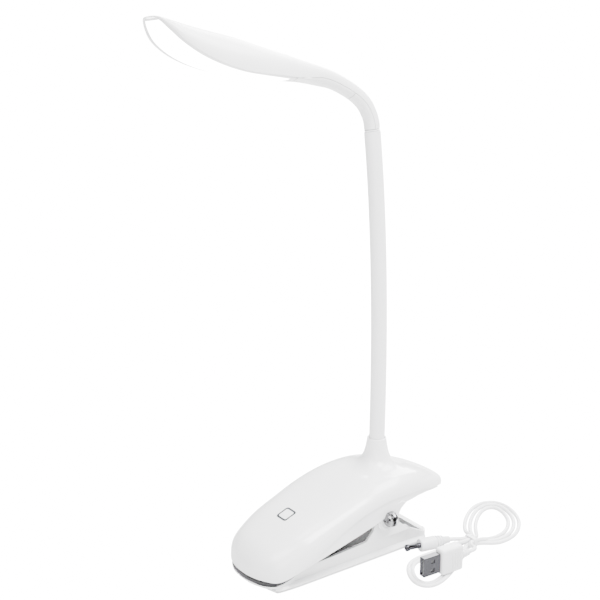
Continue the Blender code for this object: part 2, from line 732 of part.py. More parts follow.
def head_matrix():
    """The head's frame: at the top of the gooseneck, pitched forward and rolled."""
    roll = Matrix.Rotation(math.radians(-HEAD_ROLL), 4, "Y")
    pitch = Matrix.Rotation(math.radians(HEAD_PITCH), 4, "X")
    return Matrix.Translation(bezier(1.0)) @ roll @ pitch


def to_head(item):
    """Moves an object modelled at the origin into the head's frame."""
    frame = head_matrix()
    frame.translation = frame.translation * MM
    bpy.context.view_layer.update()
    item.matrix_world = frame @ item.matrix_world
    return item


def neck_rows():
    """The bent neck of the head: ridge point, parting point, underside point and half width."""
    rows = []
    for y, z, angle, radius in NECK_STATIONS:
        normal = Vector((math.cos(math.radians(angle)), math.sin(math.radians(angle))))
        centre = Vector((y, z))
        top = centre + normal * radius
        parting = centre - normal * PARTING_DROP
        under = centre - normal * radius
        rows.append((*top, *parting, *under, radius))
    return rows


def head_rows():
    """Leaf stations then neck stations, as one smooth run from the tip to the gooseneck."""
    leaf = [(ty, tz, by, bz, by + dy, bz + dz, width) for ty, tz, by, bz, dy, dz, width in LEAF_STATIONS]
    return catmull_rom(leaf + neck_rows(), 2)


def arch(low, high, width, fullness, columns):
    """Points from +X over the high point to -X, around the low point, in the head's YZ plane."""
    points = []
    for k in range(columns + 1):
        angle = math.pi * k / columns
        across = math.copysign(abs(math.cos(angle)) ** fullness, math.cos(angle))
        rise = math.sin(angle) ** fullness
        y = low[0] + (high[0] - low[0]) * rise
        z = low[1] + (high[1] - low[1]) * rise
        points.append((width * across, y, z))
    return points


def shifted(low, high, distance):
    """The high point moved towards the low one, at most to a fifth of the way from it."""
    low = Vector(low)
    high = Vector(high)
    length = max((high - low).length, 0.001)
    return tuple(low + (high - low) * max(1 - distance / length, 0.2))


def make_head_shell():
    outer, inner = [], []
    for index, (ty, tz, by, bz, _, _, width) in enumerate(HEAD_ROWS):
        if width <= 0:
            outer.append([(0.0, ty, tz)])
            inner.append([(0.0, ty + HEAD_WALL, tz - HEAD_WALL * 0.35)])
            continue
        outer.append(arch((by, bz), (ty, tz), width, LEAF_FULLNESS, HEAD_COLUMNS))
        lowered = shifted((by, bz), (ty, tz), HEAD_WALL)
        slide = HEAD_WALL * max(0.0, 1 - index / 4)
        arch_in = arch((by, bz), lowered, max(width - HEAD_WALL, 0.7 * width), LEAF_FULLNESS, HEAD_COLUMNS)
        inner.append([(x, y + slide, z - slide * 0.35) for x, y, z in arch_in])
    return to_head(thick_grid("head_shell", outer, inner, WHITE_GLOSS, PARTS))


def run_of_rows(first, last):
    """The rows from one to another, starting a gap after the first of them."""
    rows = [list(row) for row in HEAD_ROWS[first : last + 1]]
    here, after = rows[0], rows[1]
    share = GAP / math.dist(here[2:4], after[2:4])
    rows[0] = [a + (b - a) * share for a, b in zip(here, after)]
    return rows


def make_diffuser():
    """The opal window: a thin dish inside the leaf's rim, bulging downwards."""
    rings = []
    for _, tz, by, bz, uy, uz, width in run_of_rows(DIFFUSER_START, DIFFUSER_END):
        half = width - HEAD_WALL - GAP - 0.2
        low = arch((by, bz), (uy, uz), half, 0.9, 12)
        wall = min(DIFFUSER_WALL, 0.16 * (tz - bz))
        high = [(x, y, z + wall) for x, y, z in low]
        rings.append(low + high[::-1])
    return to_head(loft("diffuser", rings, OPAL, PARTS))


def make_neck_cover(name, first, last):
    """The underside of the neck between two rows."""
    outer, inner = [], []
    for _, _, by, bz, uy, uz, width in run_of_rows(first, last):
        low = shifted((uy, uz), (by, bz), GAP)
        outer.append(arch(low, (uy, uz), width, 1.0, 10))
        raised = shifted(low, (uy, uz), HEAD_WALL)
        inner.append(arch(low, raised, width - HEAD_WALL, 1.0, 10))
    return to_head(thick_grid(name, outer, inner, WHITE_GLOSS, PARTS))


def make_light_board():
    """The board along the leaf, with two rows of light-emitting diodes on its underside."""
    board = rounded_box("led_board", BOARD_SIZE, 0.0, BOARD_GREEN, PARTS)
    points, faces = [], []
    for row in (-1, 1):
        for k in range(LEDS_PER_ROW):
            y = BOARD_SIZE[1] * ((k + 0.5) / LEDS_PER_ROW - 0.5)
            start = len(points)
            for dx in (-1.4, 1.4):
                for dy in (-1.7, 1.7):
                    for z in (-1.4, 0.0):
                        points.append((row * 5.5 + dx, y + dy, z))
            for face in ((0, 1, 3, 2), (4, 6, 7, 5), (0, 4, 5, 1), (2, 3, 7, 6), (0, 2, 6, 4), (1, 5, 7, 3)):
                faces.append(tuple(start + corner for corner in face))
    diodes = mesh_object("diodes", points, faces, OPAL, CUTTERS)
    tilt(board, BOARD_CENTRE, -BOARD_SLOPE)
    tilt(diodes, BOARD_CENTRE, -BOARD_SLOPE)
    combine(board, to_head(diodes), "UNION")
    return to_head(board)


def make_head():
    make_head_shell()
    make_diffuser()
    seam = DIFFUSER_END + COVER_SPLIT
    make_neck_cover("neck_cover_front", DIFFUSER_END, seam)
    make_neck_cover("neck_cover_rear", seam, len(HEAD_ROWS) - 1)
    make_light_board()
    radius = SLEEVE_RADIUS - 0.1
    bore = HOSE_RADIUS + GAP
    profile = [(radius, 0.7), (radius, -1.2), (bore, -1.2), (bore, 0.7)]
    to_head(turned("neck_ring", profile, WHITE_SATIN, PARTS))


def band(name, middle, width):
    """Several turns of lead side by side, as one flat band that narrows towards the tie."""
    points = catmull_rom(middle, 3)
    run = [0.0]
    for a, b in zip(points, points[1:]):
        run.append(run[-1] + math.dist(a, b))
    sides = ([], [])
    for index, (x, y) in enumerate(points):
        before = points[max(index - 1, 0)]
        after = points[min(index + 1, len(points) - 1)]
        along = Vector((after[0] - before[0], after[1] - before[1])).normalized()
        share = min(1.0, min(run[index], run[-1] - run[index]) / BAND_TAPER)
        half = (BAND_END_WIDTH + (width - BAND_END_WIDTH) * share) / 2
        for side, sign in zip(sides, (1, -1)):
            side.append((x - sign * half * along.y, y + sign * half * along.x))
    outline = sides[0] + sides[1][::-1]
    solid = to_mesh(outline_plate(name, [outline], BAND_HEIGHT, WHITE_SATIN, PARTS))
    solid.location.z = (BAND_HEIGHT / 2 + 0.1) * MM
    return solid


def make_dc_plug():
    rear = Vector(DC_PLUG_REAR)
    front = Vector(DC_PLUG_FRONT)
    length = (front - rear).length
    body = [(0.0, length - 3.2), (2.1, length - 3.2), (2.1, length), (3.7, length), (4.2, length - 0.8)]
    body += [(4.2, 10.4), (3.5, 10.0), (3.5, 9.2), (4.0, 8.8), (3.3, 8.4), (3.3, 7.6), (3.7, 7.2)]
    body += [(3.0, 6.4), (2.4, 5.6), (2.0, 0.0), (0.0, 0.0)]
    place(turned("dc_plug_body", body, WHITE_SATIN, PARTS), rear, front - rear)
    barrel = [(0.0, 4.0), (0.6, 4.0), (0.6, 12.6), (1.75, 12.6), (1.75, 0.0), (0.0, 0.0)]
    foot = rear + (front - rear) * ((length - 2.9) / length)
    place(turned("dc_plug_barrel", barrel, CHROME, PARTS), foot, front - rear)


def make_usb_plug():
    """The plug stands on its narrow edge: X is its thickness and Y runs back from its mouth."""
    frame = Matrix.Translation(millimetres(USB_MOUTH)) @ Matrix.Rotation(math.radians(USB_TURN), 4, "Z")

    def piece(name, size, middle, corner, material, collection):
        item = rounded_box(name, size, corner, material, collection)
        item.matrix_world = frame @ Matrix.Translation(millimetres((0, middle, 0)))
        return item

    shell = piece("usb_shell", (4.5, 12.0, 12.0), 6.0, 0.0, CHROME, PARTS)
    combine(shell, piece("usb_mouth", (3.7, 13.0, 11.2), 4.5, 0.0, CHROME, CUTTERS), "DIFFERENCE")
    insert = piece("usb_insert", (1.8, 10.0, 10.4), 5.7, 0.0, DARK_RUBBER, PARTS)
    insert.matrix_world = insert.matrix_world @ Matrix.Translation(millimetres((0.8, 0, 0)))
    body = piece("usb_plug_body", (8.0, 16.0, 16.0), 20.3, 1.4, WHITE_SATIN, PARTS)
    taper = [(0.0, 0.0), (2.6, 0.0), (2.0, -7.2), (0.0, -7.2)]
    relief = turned("usb_relief", taper, WHITE_SATIN, CUTTERS)
    turn = Matrix.Rotation(math.radians(90), 4, "X")
    relief.matrix_world = frame @ Matrix.Translation(millimetres((0, 27.8, 0))) @ turn
    combine(body, relief, "UNION")
    return frame @ millimetres((0, 35.3, 0)) / MM


def make_lead():
    """The charging lead in a hank, with its two plugs and the tie round its waist."""
    make_dc_plug()
    usb_rear = make_usb_plug()
    x, y, z = TIE_CENTRE
    front = y - WAIST_SIZE[1] / 2 - 2 * GAP
    dc_tail = [DC_PLUG_REAR, (35.6, 72.6, 4.2), (37.2, 74.3, 4.2), (39.6, 74.4, 4.2)]
    dc_tail += [(41.5, 75.4, 4.2), (x - 2.0, front, 4.3)]
    usb_tail = [usb_rear, (62.9, 62.9, 10.6), (60.9, 67.6, 9.4), (56.4, 71.6, 7.2), (50.9, 73.8, 5.4)]
    usb_tail += [(47.9, 74.3, 4.7), (46.1, 75.3, 4.4), (x + 2.0, front, 4.3)]
    for name, points in (("lead_tail_dc", dc_tail), ("lead_tail_usb", usb_tail)):
        line = catmull_rom([tuple(point) for point in points], 3)
        line[0] = Vector(line[0]) + (Vector(line[1]) - Vector(line[0])).normalized() * GAP
        tube(name, line, CORD_RADIUS, WHITE_SATIN, PARTS)
    band("lead_coil_far", FAR_BAND, FAR_BAND_WIDTH)
    band("lead_coil_near", NEAR_BAND, NEAR_BAND_WIDTH)
    waist = rounded_box("lead_waist", WAIST_SIZE, 1.0, WHITE_SATIN, PARTS)
    waist.location = millimetres(TIE_CENTRE)
    tie = rounded_box("lead_tie", TIE_SIZE, 0.0, WHITE_SATIN, PARTS)
    hole_size = (WAIST_SIZE[0] + 2 * GAP, TIE_SIZE[1] + 4.0, WAIST_SIZE[2] + 2 * GAP)
    hole = rounded_box("tie_hole", hole_size, 0.0, WHITE_SATIN, CUTTERS)
    for item in (tie, hole):
        item.location = millimetres(TIE_CENTRE)
    combine(tie, hole, "DIFFERENCE")


def hang(name, centre, children):
    """An empty on a joint's centre, carrying the named pieces without moving them."""
    empty = bpy.data.objects.new(name, None)
    empty.empty_display_size = 0.01
    empty.location = millimetres(centre)
    PARTS.objects.link(empty)
    bpy.context.view_layer.update()
    for child in children:
        item = bpy.data.objects[child]
        item.parent = empty
        item.matrix_parent_inverse = empty.matrix_world.inverted()
    return empty


def hang_moving_pieces():
    """The chain of joints: the clip's pivot, then each joint of the gooseneck, then the head."""
    on_clip = ["base_shell", "base_cover", "upper_grip_pad", "touch_ring", "touch_spring", "control_board"]
    on_clip += ["battery_cell", "dc_socket", "gooseneck_nut", "sleeve_0", "hose_0"]
    on_clip += [f"cover_screw_{index}" for index in range(len(COVER_SCREWS))]
    parent = hang("clip_pivot", (0, *PIVOT), on_clip)
    for index, centre in enumerate(neck_stations()[1:-1], start=1):
        pieces = [f"sleeve_{index}", f"hose_{index}"]
        if index == NECK_JOINTS:
            pieces += ["neck_ring", "head_shell", "neck_cover_front", "neck_cover_rear"]
            pieces += ["diffuser", "led_board"]
        joint = hang(f"stem_joint_{index}", centre, pieces)
        joint.parent = parent
        joint.matrix_parent_inverse = parent.matrix_world.inverted()
        parent = joint


HEAD_ROWS = head_rows()
SHELL = make_base_shell()
add_socket(SHELL)
make_touch_mark(SHELL)
COVER = make_base_cover()
make_cover_screws(SHELL, COVER)
make_lower_jaw()
make_grip_pads()
make_foot_pad()
make_pivot()
make_torsion_spring()
make_inner_parts(SHELL)
make_gooseneck()
make_head()
make_lead()
hang_moving_pieces()
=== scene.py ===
"""Visual model of the clip-on reading lamp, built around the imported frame. Lengths are in metres."""
import math

import bmesh
import bpy
from mathutils import Matrix, Vector


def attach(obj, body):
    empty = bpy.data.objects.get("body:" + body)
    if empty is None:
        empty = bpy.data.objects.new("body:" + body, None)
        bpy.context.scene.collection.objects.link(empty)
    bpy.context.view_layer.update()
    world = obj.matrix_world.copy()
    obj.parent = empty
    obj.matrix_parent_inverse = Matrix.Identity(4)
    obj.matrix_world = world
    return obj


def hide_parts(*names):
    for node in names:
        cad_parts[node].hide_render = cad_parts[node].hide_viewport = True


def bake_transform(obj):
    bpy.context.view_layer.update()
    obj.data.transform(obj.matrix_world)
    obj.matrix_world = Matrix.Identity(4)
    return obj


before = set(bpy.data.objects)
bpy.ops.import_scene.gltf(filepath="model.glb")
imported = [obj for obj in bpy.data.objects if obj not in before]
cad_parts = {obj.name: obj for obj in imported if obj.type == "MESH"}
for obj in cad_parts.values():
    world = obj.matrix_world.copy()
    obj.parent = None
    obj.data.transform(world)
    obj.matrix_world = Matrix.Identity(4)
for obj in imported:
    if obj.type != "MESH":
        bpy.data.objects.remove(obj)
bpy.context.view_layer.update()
MM = 0.001


def mm(point):
    """A point given in millimetres, in metres."""
    return Vector(point) * MM


# ---------------------------------------------------------------- materials

def principled(name, colour, roughness, metallic=0.0, **sockets):
    """A material and its Principled shader, with any further sockets by name."""
    material = bpy.data.materials.new(name)
    material.use_nodes = True
    shader = material.node_tree.nodes["Principled BSDF"]
    shader.inputs["Base Color"].default_value = (*colour, 1.0)
    shader.inputs["Roughness"].default_value = roughness
    shader.inputs["Metallic"].default_value = metallic
    for socket, value in sockets.items():
        shader.inputs[socket.replace("_", " ")].default_value = value
    return material, shader


def add_node(tree, kind, **sockets):
    """A new shader node with these socket values. An underscore stands for a space."""
    node = tree.nodes.new(kind)
    for socket, value in sockets.items():
        node.inputs[socket.replace("_", " ")].default_value = value
    return node


def textured(name, colour, roughness, grain, depth, spread, tint, stretch=(1, 1, 1), metallic=0.0, **more):
    """Fine grain in the bump, and slow drifts of gloss and colour, all from noise in object space."""
    material, shader = principled(name, colour, roughness, metallic, **more)
    tree = material.node_tree
    place = add_node(tree, "ShaderNodeTexCoord")
    mapping = add_node(tree, "ShaderNodeMapping", Scale=stretch)
    tree.links.new(place.outputs["Object"], mapping.inputs["Vector"])
    fine = add_node(tree, "ShaderNodeTexNoise", Scale=grain, Detail=3.0)
    tree.links.new(mapping.outputs["Vector"], fine.inputs["Vector"])
    bump = add_node(tree, "ShaderNodeBump", Strength=0.35, Distance=depth)
    tree.links.new(fine.outputs["Fac"], bump.inputs["Height"])
    tree.links.new(bump.outputs["Normal"], shader.inputs["Normal"])
    slow = add_node(tree, "ShaderNodeTexNoise", Scale=45.0, Detail=2.0)
    tree.links.new(place.outputs["Object"], slow.inputs["Vector"])
    lowest = max(roughness - spread, 0.02)
    gloss = add_node(tree, "ShaderNodeMapRange", To_Min=lowest, To_Max=roughness + spread)
    tree.links.new(slow.outputs["Fac"], gloss.inputs["Value"])
    tree.links.new(gloss.outputs["Result"], shader.inputs["Roughness"])
    ramp = add_node(tree, "ShaderNodeValToRGB")
    ramp.color_ramp.elements[0].color = (*[c * (1 - tint) for c in colour], 1.0)
    ramp.color_ramp.elements[1].color = (*[min(c * (1 + tint), 1.0) for c in colour], 1.0)
    tree.links.new(slow.outputs["Fac"], ramp.inputs["Fac"])
    tree.links.new(ramp.outputs["Color"], shader.inputs["Base Color"])
    return material


WHITE = textured("white_abs", (0.83, 0.83, 0.835), 0.16, 700, 0.00002, 0.02, 0.006, Coat_Weight=0.25,
                 Coat_Roughness=0.06)
HEAD_WHITE = textured("white_abs_head", (0.83, 0.83, 0.835), 0.3, 900, 0.00002, 0.03, 0.006)
SILICONE = textured("white_silicone", (0.83, 0.83, 0.835), 0.42, 1500, 0.00003, 0.04, 0.01)
CORD = textured("white_pvc", (0.8, 0.8, 0.81), 0.35, 1800, 0.00003, 0.05, 0.012)
# Dark rubber of the grip pads; the same colour is also painted on as shade on the under-shell's lower edge
# and on the tray's floor.
RUBBER_AND_PAINTED_SHADE = textured("dark_rubber", (0.018, 0.018, 0.02), 0.6, 2600, 0.00008, 0.08, 0.2)
MOULDED = textured("plug_moulding", (0.72, 0.72, 0.73), 0.32, 2200, 0.00005, 0.06, 0.03)
DARK_PLASTIC = textured("dark_plastic", (0.03, 0.03, 0.034), 0.35, 2200, 0.00004, 0.06, 0.1)
CHROME = textured("chrome", (0.72, 0.73, 0.75), 0.09, 1200, 0.000012, 0.03, 0.03, metallic=1.0)
BLACK_PLATING = textured("black_plating", (0.05, 0.05, 0.055), 0.22, 1200, 0.00002, 0.05, 0.1, metallic=1.0)
STEEL = textured("steel", (0.42, 0.43, 0.45), 0.3, 600, 0.00003, 0.08, 0.08, (1, 1, 14), metallic=1.0)
INK = textured("ring_ink", (0.03, 0.031, 0.036), 0.35, 2000, 0.00002, 0.04, 0.1)
# A grey painted as shade on the inner walls of the lower jaw's tray.
PAINTED_SHADE_GREY = textured("painted_shade_grey", (0.3, 0.3, 0.31), 0.45, 900, 0.00003, 0.05, 0.03)
GREEN = textured("board_lacquer", (0.02, 0.13, 0.05), 0.35, 900, 0.00004, 0.06, 0.15)
POUCH = textured("cell_pouch", (0.55, 0.57, 0.6), 0.4, 300, 0.00008, 0.08, 0.05, metallic=0.7)
OPAL = textured("opal_window", (0.95, 0.95, 0.945), 0.35, 1300, 0.00002, 0.04, 0.004,
                Emission_Color=(1.0, 1.0, 1.0, 1.0), Emission_Strength=17.0)

# ---------------------------------------------------------------- shape helpers


def catmull_rom(stations, steps):
    """Rows along a smooth line through the stations, this many to each gap."""
    rows = []
    last = len(stations) - 1
    for index in range(last):
        four = [stations[max(0, min(last, index + shift))] for shift in (-1, 0, 1, 2)]
        for step in range(steps):
            t = step / steps
            weights = ((-t**3 + 2 * t**2 - t) / 2, (3 * t**3 - 5 * t**2 + 2) / 2,
                       (-3 * t**3 + 4 * t**2 + t) / 2, (t**3 - t**2) / 2)
            rows.append(tuple(sum(w * s[k] for w, s in zip(weights, four)) for k in range(len(four[0]))))
    rows.append(tuple(stations[-1]))
    return rows


def make(name, points, faces, material, sharp=35):
    """An object from points in millimetres, faces turned outwards and smooth-shaded."""
    mesh = bpy.data.meshes.new(name)
    mesh.from_pydata([mm(p) for p in points], [], faces)
    work = bmesh.new()
    work.from_mesh(mesh)
    bmesh.ops.recalc_face_normals(work, faces=work.faces)
    work.to_mesh(mesh)
    work.free()
    mesh.shade_smooth()
    mesh.set_sharp_from_angle(angle=math.radians(sharp))
    item = bpy.data.objects.new(name, mesh)
    bpy.context.scene.collection.objects.link(item)
    mesh.materials.append(material)
    return item


def bevel(item, width, segments=3, angle=40):
    """Rounds every edge sharper than the angle, by a width in millimetres."""
    modifier = item.modifiers.new("soft edges", "BEVEL")
    modifier.width = width * MM
    modifier.segments = segments
    modifier.limit_method = "ANGLE"
    modifier.angle_limit = math.radians(angle)
    return item


def ring_faces(rows, around, first=0, closed=False):
    """Quads between rings of points. With closed, the last ring also joins the first."""
    faces = []
    for row in range(rows if closed else rows - 1):
        a, b = first + row * around, first + (row + 1) % rows * around
        for k in range(around):
            after = (k + 1) % around
            faces.append((a + k, a + after, b + after, b + k))
    return faces


def plate_faces(count):
    """The faces of a plate whose two outlines have this many points each."""
    sides = [(k, (k + 1) % count, count + (k + 1) % count, count + k) for k in range(count)]
    return [tuple(range(count)), tuple(range(count, 2 * count)), *sides]


def thick_grid_data(outer, inner):
    """A closed wall between two grids of rows. A row of one point is a pole."""
    points, sides, faces = [], [], []
    for grid in (outer, inner):
        starts = []
        for row in grid:
            starts.append((len(points), len(row)))
            points.extend(row)
        sides.append(starts)
    for starts in sides:
        for (a, a_count), (b, b_count) in zip(starts, starts[1:]):
            for k in range(max(a_count, b_count) - 1):
                corners = [a + min(k, a_count - 1), a + min(k + 1, a_count - 1),
                           b + min(k + 1, b_count - 1), b + min(k, b_count - 1)]
                faces.append(tuple(dict.fromkeys(corners)))
    rows = list(zip(*sides))
    for ((a, a_count), (c, _)), ((b, b_count), (d, _)) in zip(rows, rows[1:]):
        faces.append((a, b, d, c))
        faces.append((a + a_count - 1, b + b_count - 1, d + b_count - 1, c + a_count - 1))
    for (a, a_count), (c, _) in (rows[0], rows[-1]):
        for k in range(a_count - 1):
            faces.append((a + k, a + k + 1, c + k + 1, c + k))
    return points, faces


def turned_data(profile, steps):
    """A profile of (radius, height) turned about Z. A radius of 0 becomes a pole."""
    points, rings, faces = [], [], []
    for radius, height in profile:
        if radius <= 1e-9:
            rings.append([len(points)])
            points.append((0.0, 0.0, height))
            continue
        rings.append(list(range(len(points), len(points) + steps)))
        for k in range(steps):
            angle = 2 * math.pi * k / steps
            points.append((radius * math.cos(angle), radius * math.sin(angle), height))
    pairs = list(zip(rings, rings[1:]))
    if len(rings[0]) > 1 and len(rings[-1]) > 1:
        pairs.append((rings[-1], rings[0]))
    for a, b in pairs:
        for k in range(steps):
            corners = [a[k % len(a)], a[(k + 1) % len(a)], b[(k + 1) % len(b)], b[k % len(b)]]
            corners = list(dict.fromkeys(corners))
            if len(corners) > 2:
                faces.append(tuple(corners))
    return points, faces


def turned(name, profile, material, steps=64, sharp=35):
    """A solid of revolution from a profile of (radius, height)."""
    return make(name, *turned_data(profile, steps), material, sharp)


def place(item, location, direction=(0, 0, 1)):
    """Moves an item to a place in millimetres and points its Z axis along the direction."""
    turn = Vector(direction).to_track_quat("Z", "Y").to_matrix().to_4x4()
    item.matrix_world = Matrix.Translation(mm(location)) @ turn
    return item


def arch(low, high, width, fullness, columns):
    """A row over a superellipse from +X to -X. low and high are (y, z) at its feet and its crown."""
    points = []
    for k in range(columns + 1):
        angle = math.pi * k / columns
        across = math.copysign(abs(math.cos(angle)) ** fullness, math.cos(angle))
        rise = math.sin(angle) ** fullness
        y, z = (a + (b - a) * rise for a, b in zip(low, high))
        points.append((width * across, y, z))
    return points


def shifted(low, high, distance):
    """The high point moved towards the low one."""
    low, high = Vector(low), Vector(high)
    length = max((high - low).length, 0.001)
    return tuple(low + (high - low) * max(1 - distance / length, 0.2))


def read_line(line, y, column=1):
    """The value of a column at this y, between the stations of a line."""
    if y <= line[0][0]:
        return line[0][column]
    for low, high in zip(line, line[1:]):
        if y <= high[0]:
            return low[column] + (high[column] - low[column]) * (y - low[0]) / (high[0] - low[0])
    return line[-1][column]


def join(name, items):
    """One object from several meshes already in place."""
    mesh = bpy.data.meshes.new(name)
    work = bmesh.new()
    materials = []
    for item in items:
        bpy.context.view_layer.update()
        evaluated = item.evaluated_get(bpy.context.evaluated_depsgraph_get())
        part = bpy.data.meshes.new_from_object(evaluated)
        part.transform(item.matrix_world)
        slots = []
        for material in part.materials:
            if material not in materials:
                materials.append(material)
            slots.append(materials.index(material))
        first = len(work.faces)
        work.from_mesh(part)
        work.faces.ensure_lookup_table()
        for face in work.faces[first:]:
            face.material_index = slots[face.material_index]
    work.to_mesh(mesh)
    work.free()
    for material in materials:
        mesh.materials.append(material)
    whole = bpy.data.objects.new(name, mesh)
    bpy.context.scene.collection.objects.link(whole)
    for item in items:
        bpy.data.objects.remove(item, do_unlink=True)
    return whole


def ride_as(item, body, slot, *nodes):
    """Puts a finished piece on its body and hides the nodes that it replaces. The slot is not used."""
    if nodes:
        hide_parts(*nodes)
    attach(item, body)


def loft(name, rings, material, sharp=35):
    """A solid through rings of equally many points, closed at its first and last ring."""
    count = len(rings[0])
    points = [point for ring in rings for point in ring]
    caps = [tuple(range(count)), tuple(range(len(points) - count, len(points)))]
    return make(name, points, caps + ring_faces(len(rings), count), material, sharp)


def mirrored(half, y):
    """A ring from its +X half, given as (x, z)."""
    return [(x, y, z) for x, z in half] + [(-x, y, z) for x, z in reversed(half)]


def arc(centre, radius, start, end, steps):
    """Points along a circle, with its angles in degrees."""
    angles = [math.radians(start + (end - start) * k / steps) for k in range(steps + 1)]
    return [(centre[0] + radius * math.cos(a), centre[1] + radius * math.sin(a)) for a in angles]


def plate_x(name, outline, low, high, material, corner):
    """An outline of (y, z) as a plate between two x values, with softened edges."""
    points = [(x, y, z) for x in (low, high) for y, z in outline]
    return bevel(make(name, points, plate_faces(len(outline)), material), corner)


def tint_faces(item, material, wanted):
    """Gives a second material to the faces whose centre and normal, in millimetres, are wanted."""
    item.data.materials.append(material)
    for face in item.data.polygons:
        if wanted(face.center / MM, face.normal):
            face.material_index = len(item.data.materials) - 1


def wire_data(line, radius, around=12):
    """A round wire along a line of points, with flat ends."""
    points = []
    side = Vector((0, 0, 1))
    for index, spot in enumerate(line):
        along = (line[min(index + 1, len(line) - 1)] - line[max(index - 1, 0)]).normalized()
        side = (side - along * side.dot(along)).normalized()
        other = along.cross(side)
        for k in range(around):
            angle = 2 * math.pi * k / around
            points.append(spot + (side * math.cos(angle) + other * math.sin(angle)) * radius)
    caps = [tuple(range(around)), tuple(range(len(points) - around, len(points)))]
    return points, ring_faces(len(line), around) + caps


def cut_out(item, cutter):
    """Takes the shape of a hidden cutter out of an item."""
    cutter.hide_render = cutter.hide_viewport = True
    modifier = item.modifiers.new("cut", "BOOLEAN")
    modifier.object = cutter
    modifier.solver = "EXACT"

# ---------------------------------------------------------------- camera and stage

CAMERA_LENS = 75.0
CAMERA_PLACE = (543.6, -413.4, 371.4)
CAMERA_AZIMUTH = math.radians(54)
CAMERA_ELEVATION = math.radians(17)


def make_camera():
    """The camera, looking down on the lamp from its right front."""
    data = bpy.data.cameras.new("camera")
    data.lens = CAMERA_LENS
    data.sensor_width = 36.0
    data.clip_end = 20.0
    camera = bpy.data.objects.new("camera", data)
    bpy.context.scene.collection.objects.link(camera)
    level = math.cos(CAMERA_ELEVATION)
    along_x, along_y = math.cos(CAMERA_AZIMUTH), math.sin(CAMERA_AZIMUTH)
    right = Vector((along_x, along_y, 0))
    back = Vector((along_y * level, -along_x * level, math.sin(CAMERA_ELEVATION)))
    up = back.cross(right)
    matrix = Matrix((right, up, back)).transposed().to_4x4()
    matrix.translation = mm(CAMERA_PLACE)
    camera.matrix_world = matrix
    bpy.context.scene.camera = camera


def area(name, location, target, size, power):
    """A square soft light, aimed at a point. The places are in metres."""
    data = bpy.data.lights.new(name, "AREA")
    data.size = size
    data.energy = power
    light = bpy.data.objects.new(name, data)
    bpy.context.scene.collection.objects.link(light)
    light.location = location
    light.rotation_euler = (Vector(location) - Vector(target)).to_track_quat("Z", "Y").to_euler()


# Each light's direction from the lamp, and its power in watts.
SOFT_LIGHTS = {
    "camera_side": ((0.75, -0.62, 0.3), 14.0),
    "back": ((-0.6, 0.8, 0.5), 56.0),
    "top": ((0.0, 0.0, 1.0), 15.6),
    "rear": ((0.1, 0.7, 0.9), 52.0),
    "front": ((0.1, -0.7, 0.9), 26.0),
    "right": ((0.5, 0.1, 1.0), 84.0),
}
LIGHT_DISTANCE = 1600
LIGHT_SIZE = 0.9
LIGHT_AIM = (0, 0, 0.12)
WORLD_LIGHT = 0.25
FLOOR_REACH = 60000
FLOOR_GLOW = 1.0
FLOOR_GLOW_SEEN = 16.5


def make_stage():
    """A pale floor that the camera sees as plain white, under soft lights."""
    floor_material = textured("studio_floor", (0.55, 0.55, 0.55), 0.75, 60, 0.00001, 0.02, 0.003,
                              Emission_Color=(1.0, 1.0, 1.0, 1.0))
    tree = floor_material.node_tree
    path = add_node(tree, "ShaderNodeLightPath")
    glow = add_node(tree, "ShaderNodeMapRange", To_Min=FLOOR_GLOW, To_Max=FLOOR_GLOW_SEEN)
    tree.links.new(path.outputs["Is Camera Ray"], glow.inputs["Value"])
    tree.links.new(glow.outputs["Result"], tree.nodes["Principled BSDF"].inputs["Emission Strength"])
    corners = [(x * FLOOR_REACH, y * FLOOR_REACH, 0) for x, y in ((-1, -1), (1, -1), (1, 1), (-1, 1))]
    make("floor", corners, [(0, 1, 2, 3)], floor_material)
    world = bpy.data.worlds.new("studio")
    bpy.context.scene.world = world
    world.use_nodes = True
    background = world.node_tree.nodes["Background"]
    background.inputs["Color"].default_value = (1.0, 1.0, 1.0, 1.0)
    background.inputs["Strength"].default_value = WORLD_LIGHT
    for name, (direction, watts) in SOFT_LIGHTS.items():
        spot = mm(Vector(direction).normalized() * LIGHT_DISTANCE) + Vector((0, 0, 0.1))
        area(name, spot, LIGHT_AIM, LIGHT_SIZE, watts)


make_camera()
make_stage()

# ---------------------------------------------------------------- the lead

CORD_DIAMETER = 2.5
FAR_LOOP = [(41.9, 83.9), (41.2, 86.2), (35.8, 89.4), (25.8, 97.5), (16.5, 109.0), (11.0, 120.5),
            (12.0, 128.8), (18.6, 131.2), (30.5, 127.4), (39.6, 120.6), (47.0, 109.9), (48.8, 98.7),
            (48.0, 89.4), (46.0, 84.0)]
NEAR_LOOP = [(46.0, 77.0), (47.4, 68.0), (52.4, 57.0), (59.4, 44.0), (63.2, 34.0), (63.9, 27.0),
             (59.0, 25.2), (50.2, 29.0), (42.6, 36.4), (41.6, 47.0), (42.0, 60.0), (41.4, 70.0),
             (41.9, 77.0)]
FAR_SHIFTS = (4.2, 0.9, -2.6)
NEAR_SHIFTS = (1.3, 3.8)
CORD_SPACING = 2.4
SMOOTHING_PASSES = 5
TIE = Vector((43.8, 80.2, 3.6))
TIE_REACH = 3.6
TIE_HALF_WIDTH, TIE_HALF_HEIGHT, TIE_ROUNDING = 2.55, 1.25, 1.62
LOW, HIGH, GROUND = 2.4, 4.8, 1.3
DC_REAR = (35.1, 69.9, 4.2)
DC_FRONT = (30.8, 49.5, 4.5)
DC_LEAD = [(35.55, 72.4, 4.2), (36.9, 74.0, 4.2), (39.2, 74.5, 4.4), (40.9, 75.4, 4.7)]
USB_TURN = math.radians(-3.4)
USB_MOUTH = Vector((60.5, 25.0, 10.8))
USB_FRAME = Matrix.Translation(mm(USB_MOUTH)) @ Matrix.Rotation(USB_TURN, 4, "Z")
USB_REAR = (USB_FRAME @ mm((0, 35.3, 0))) / MM
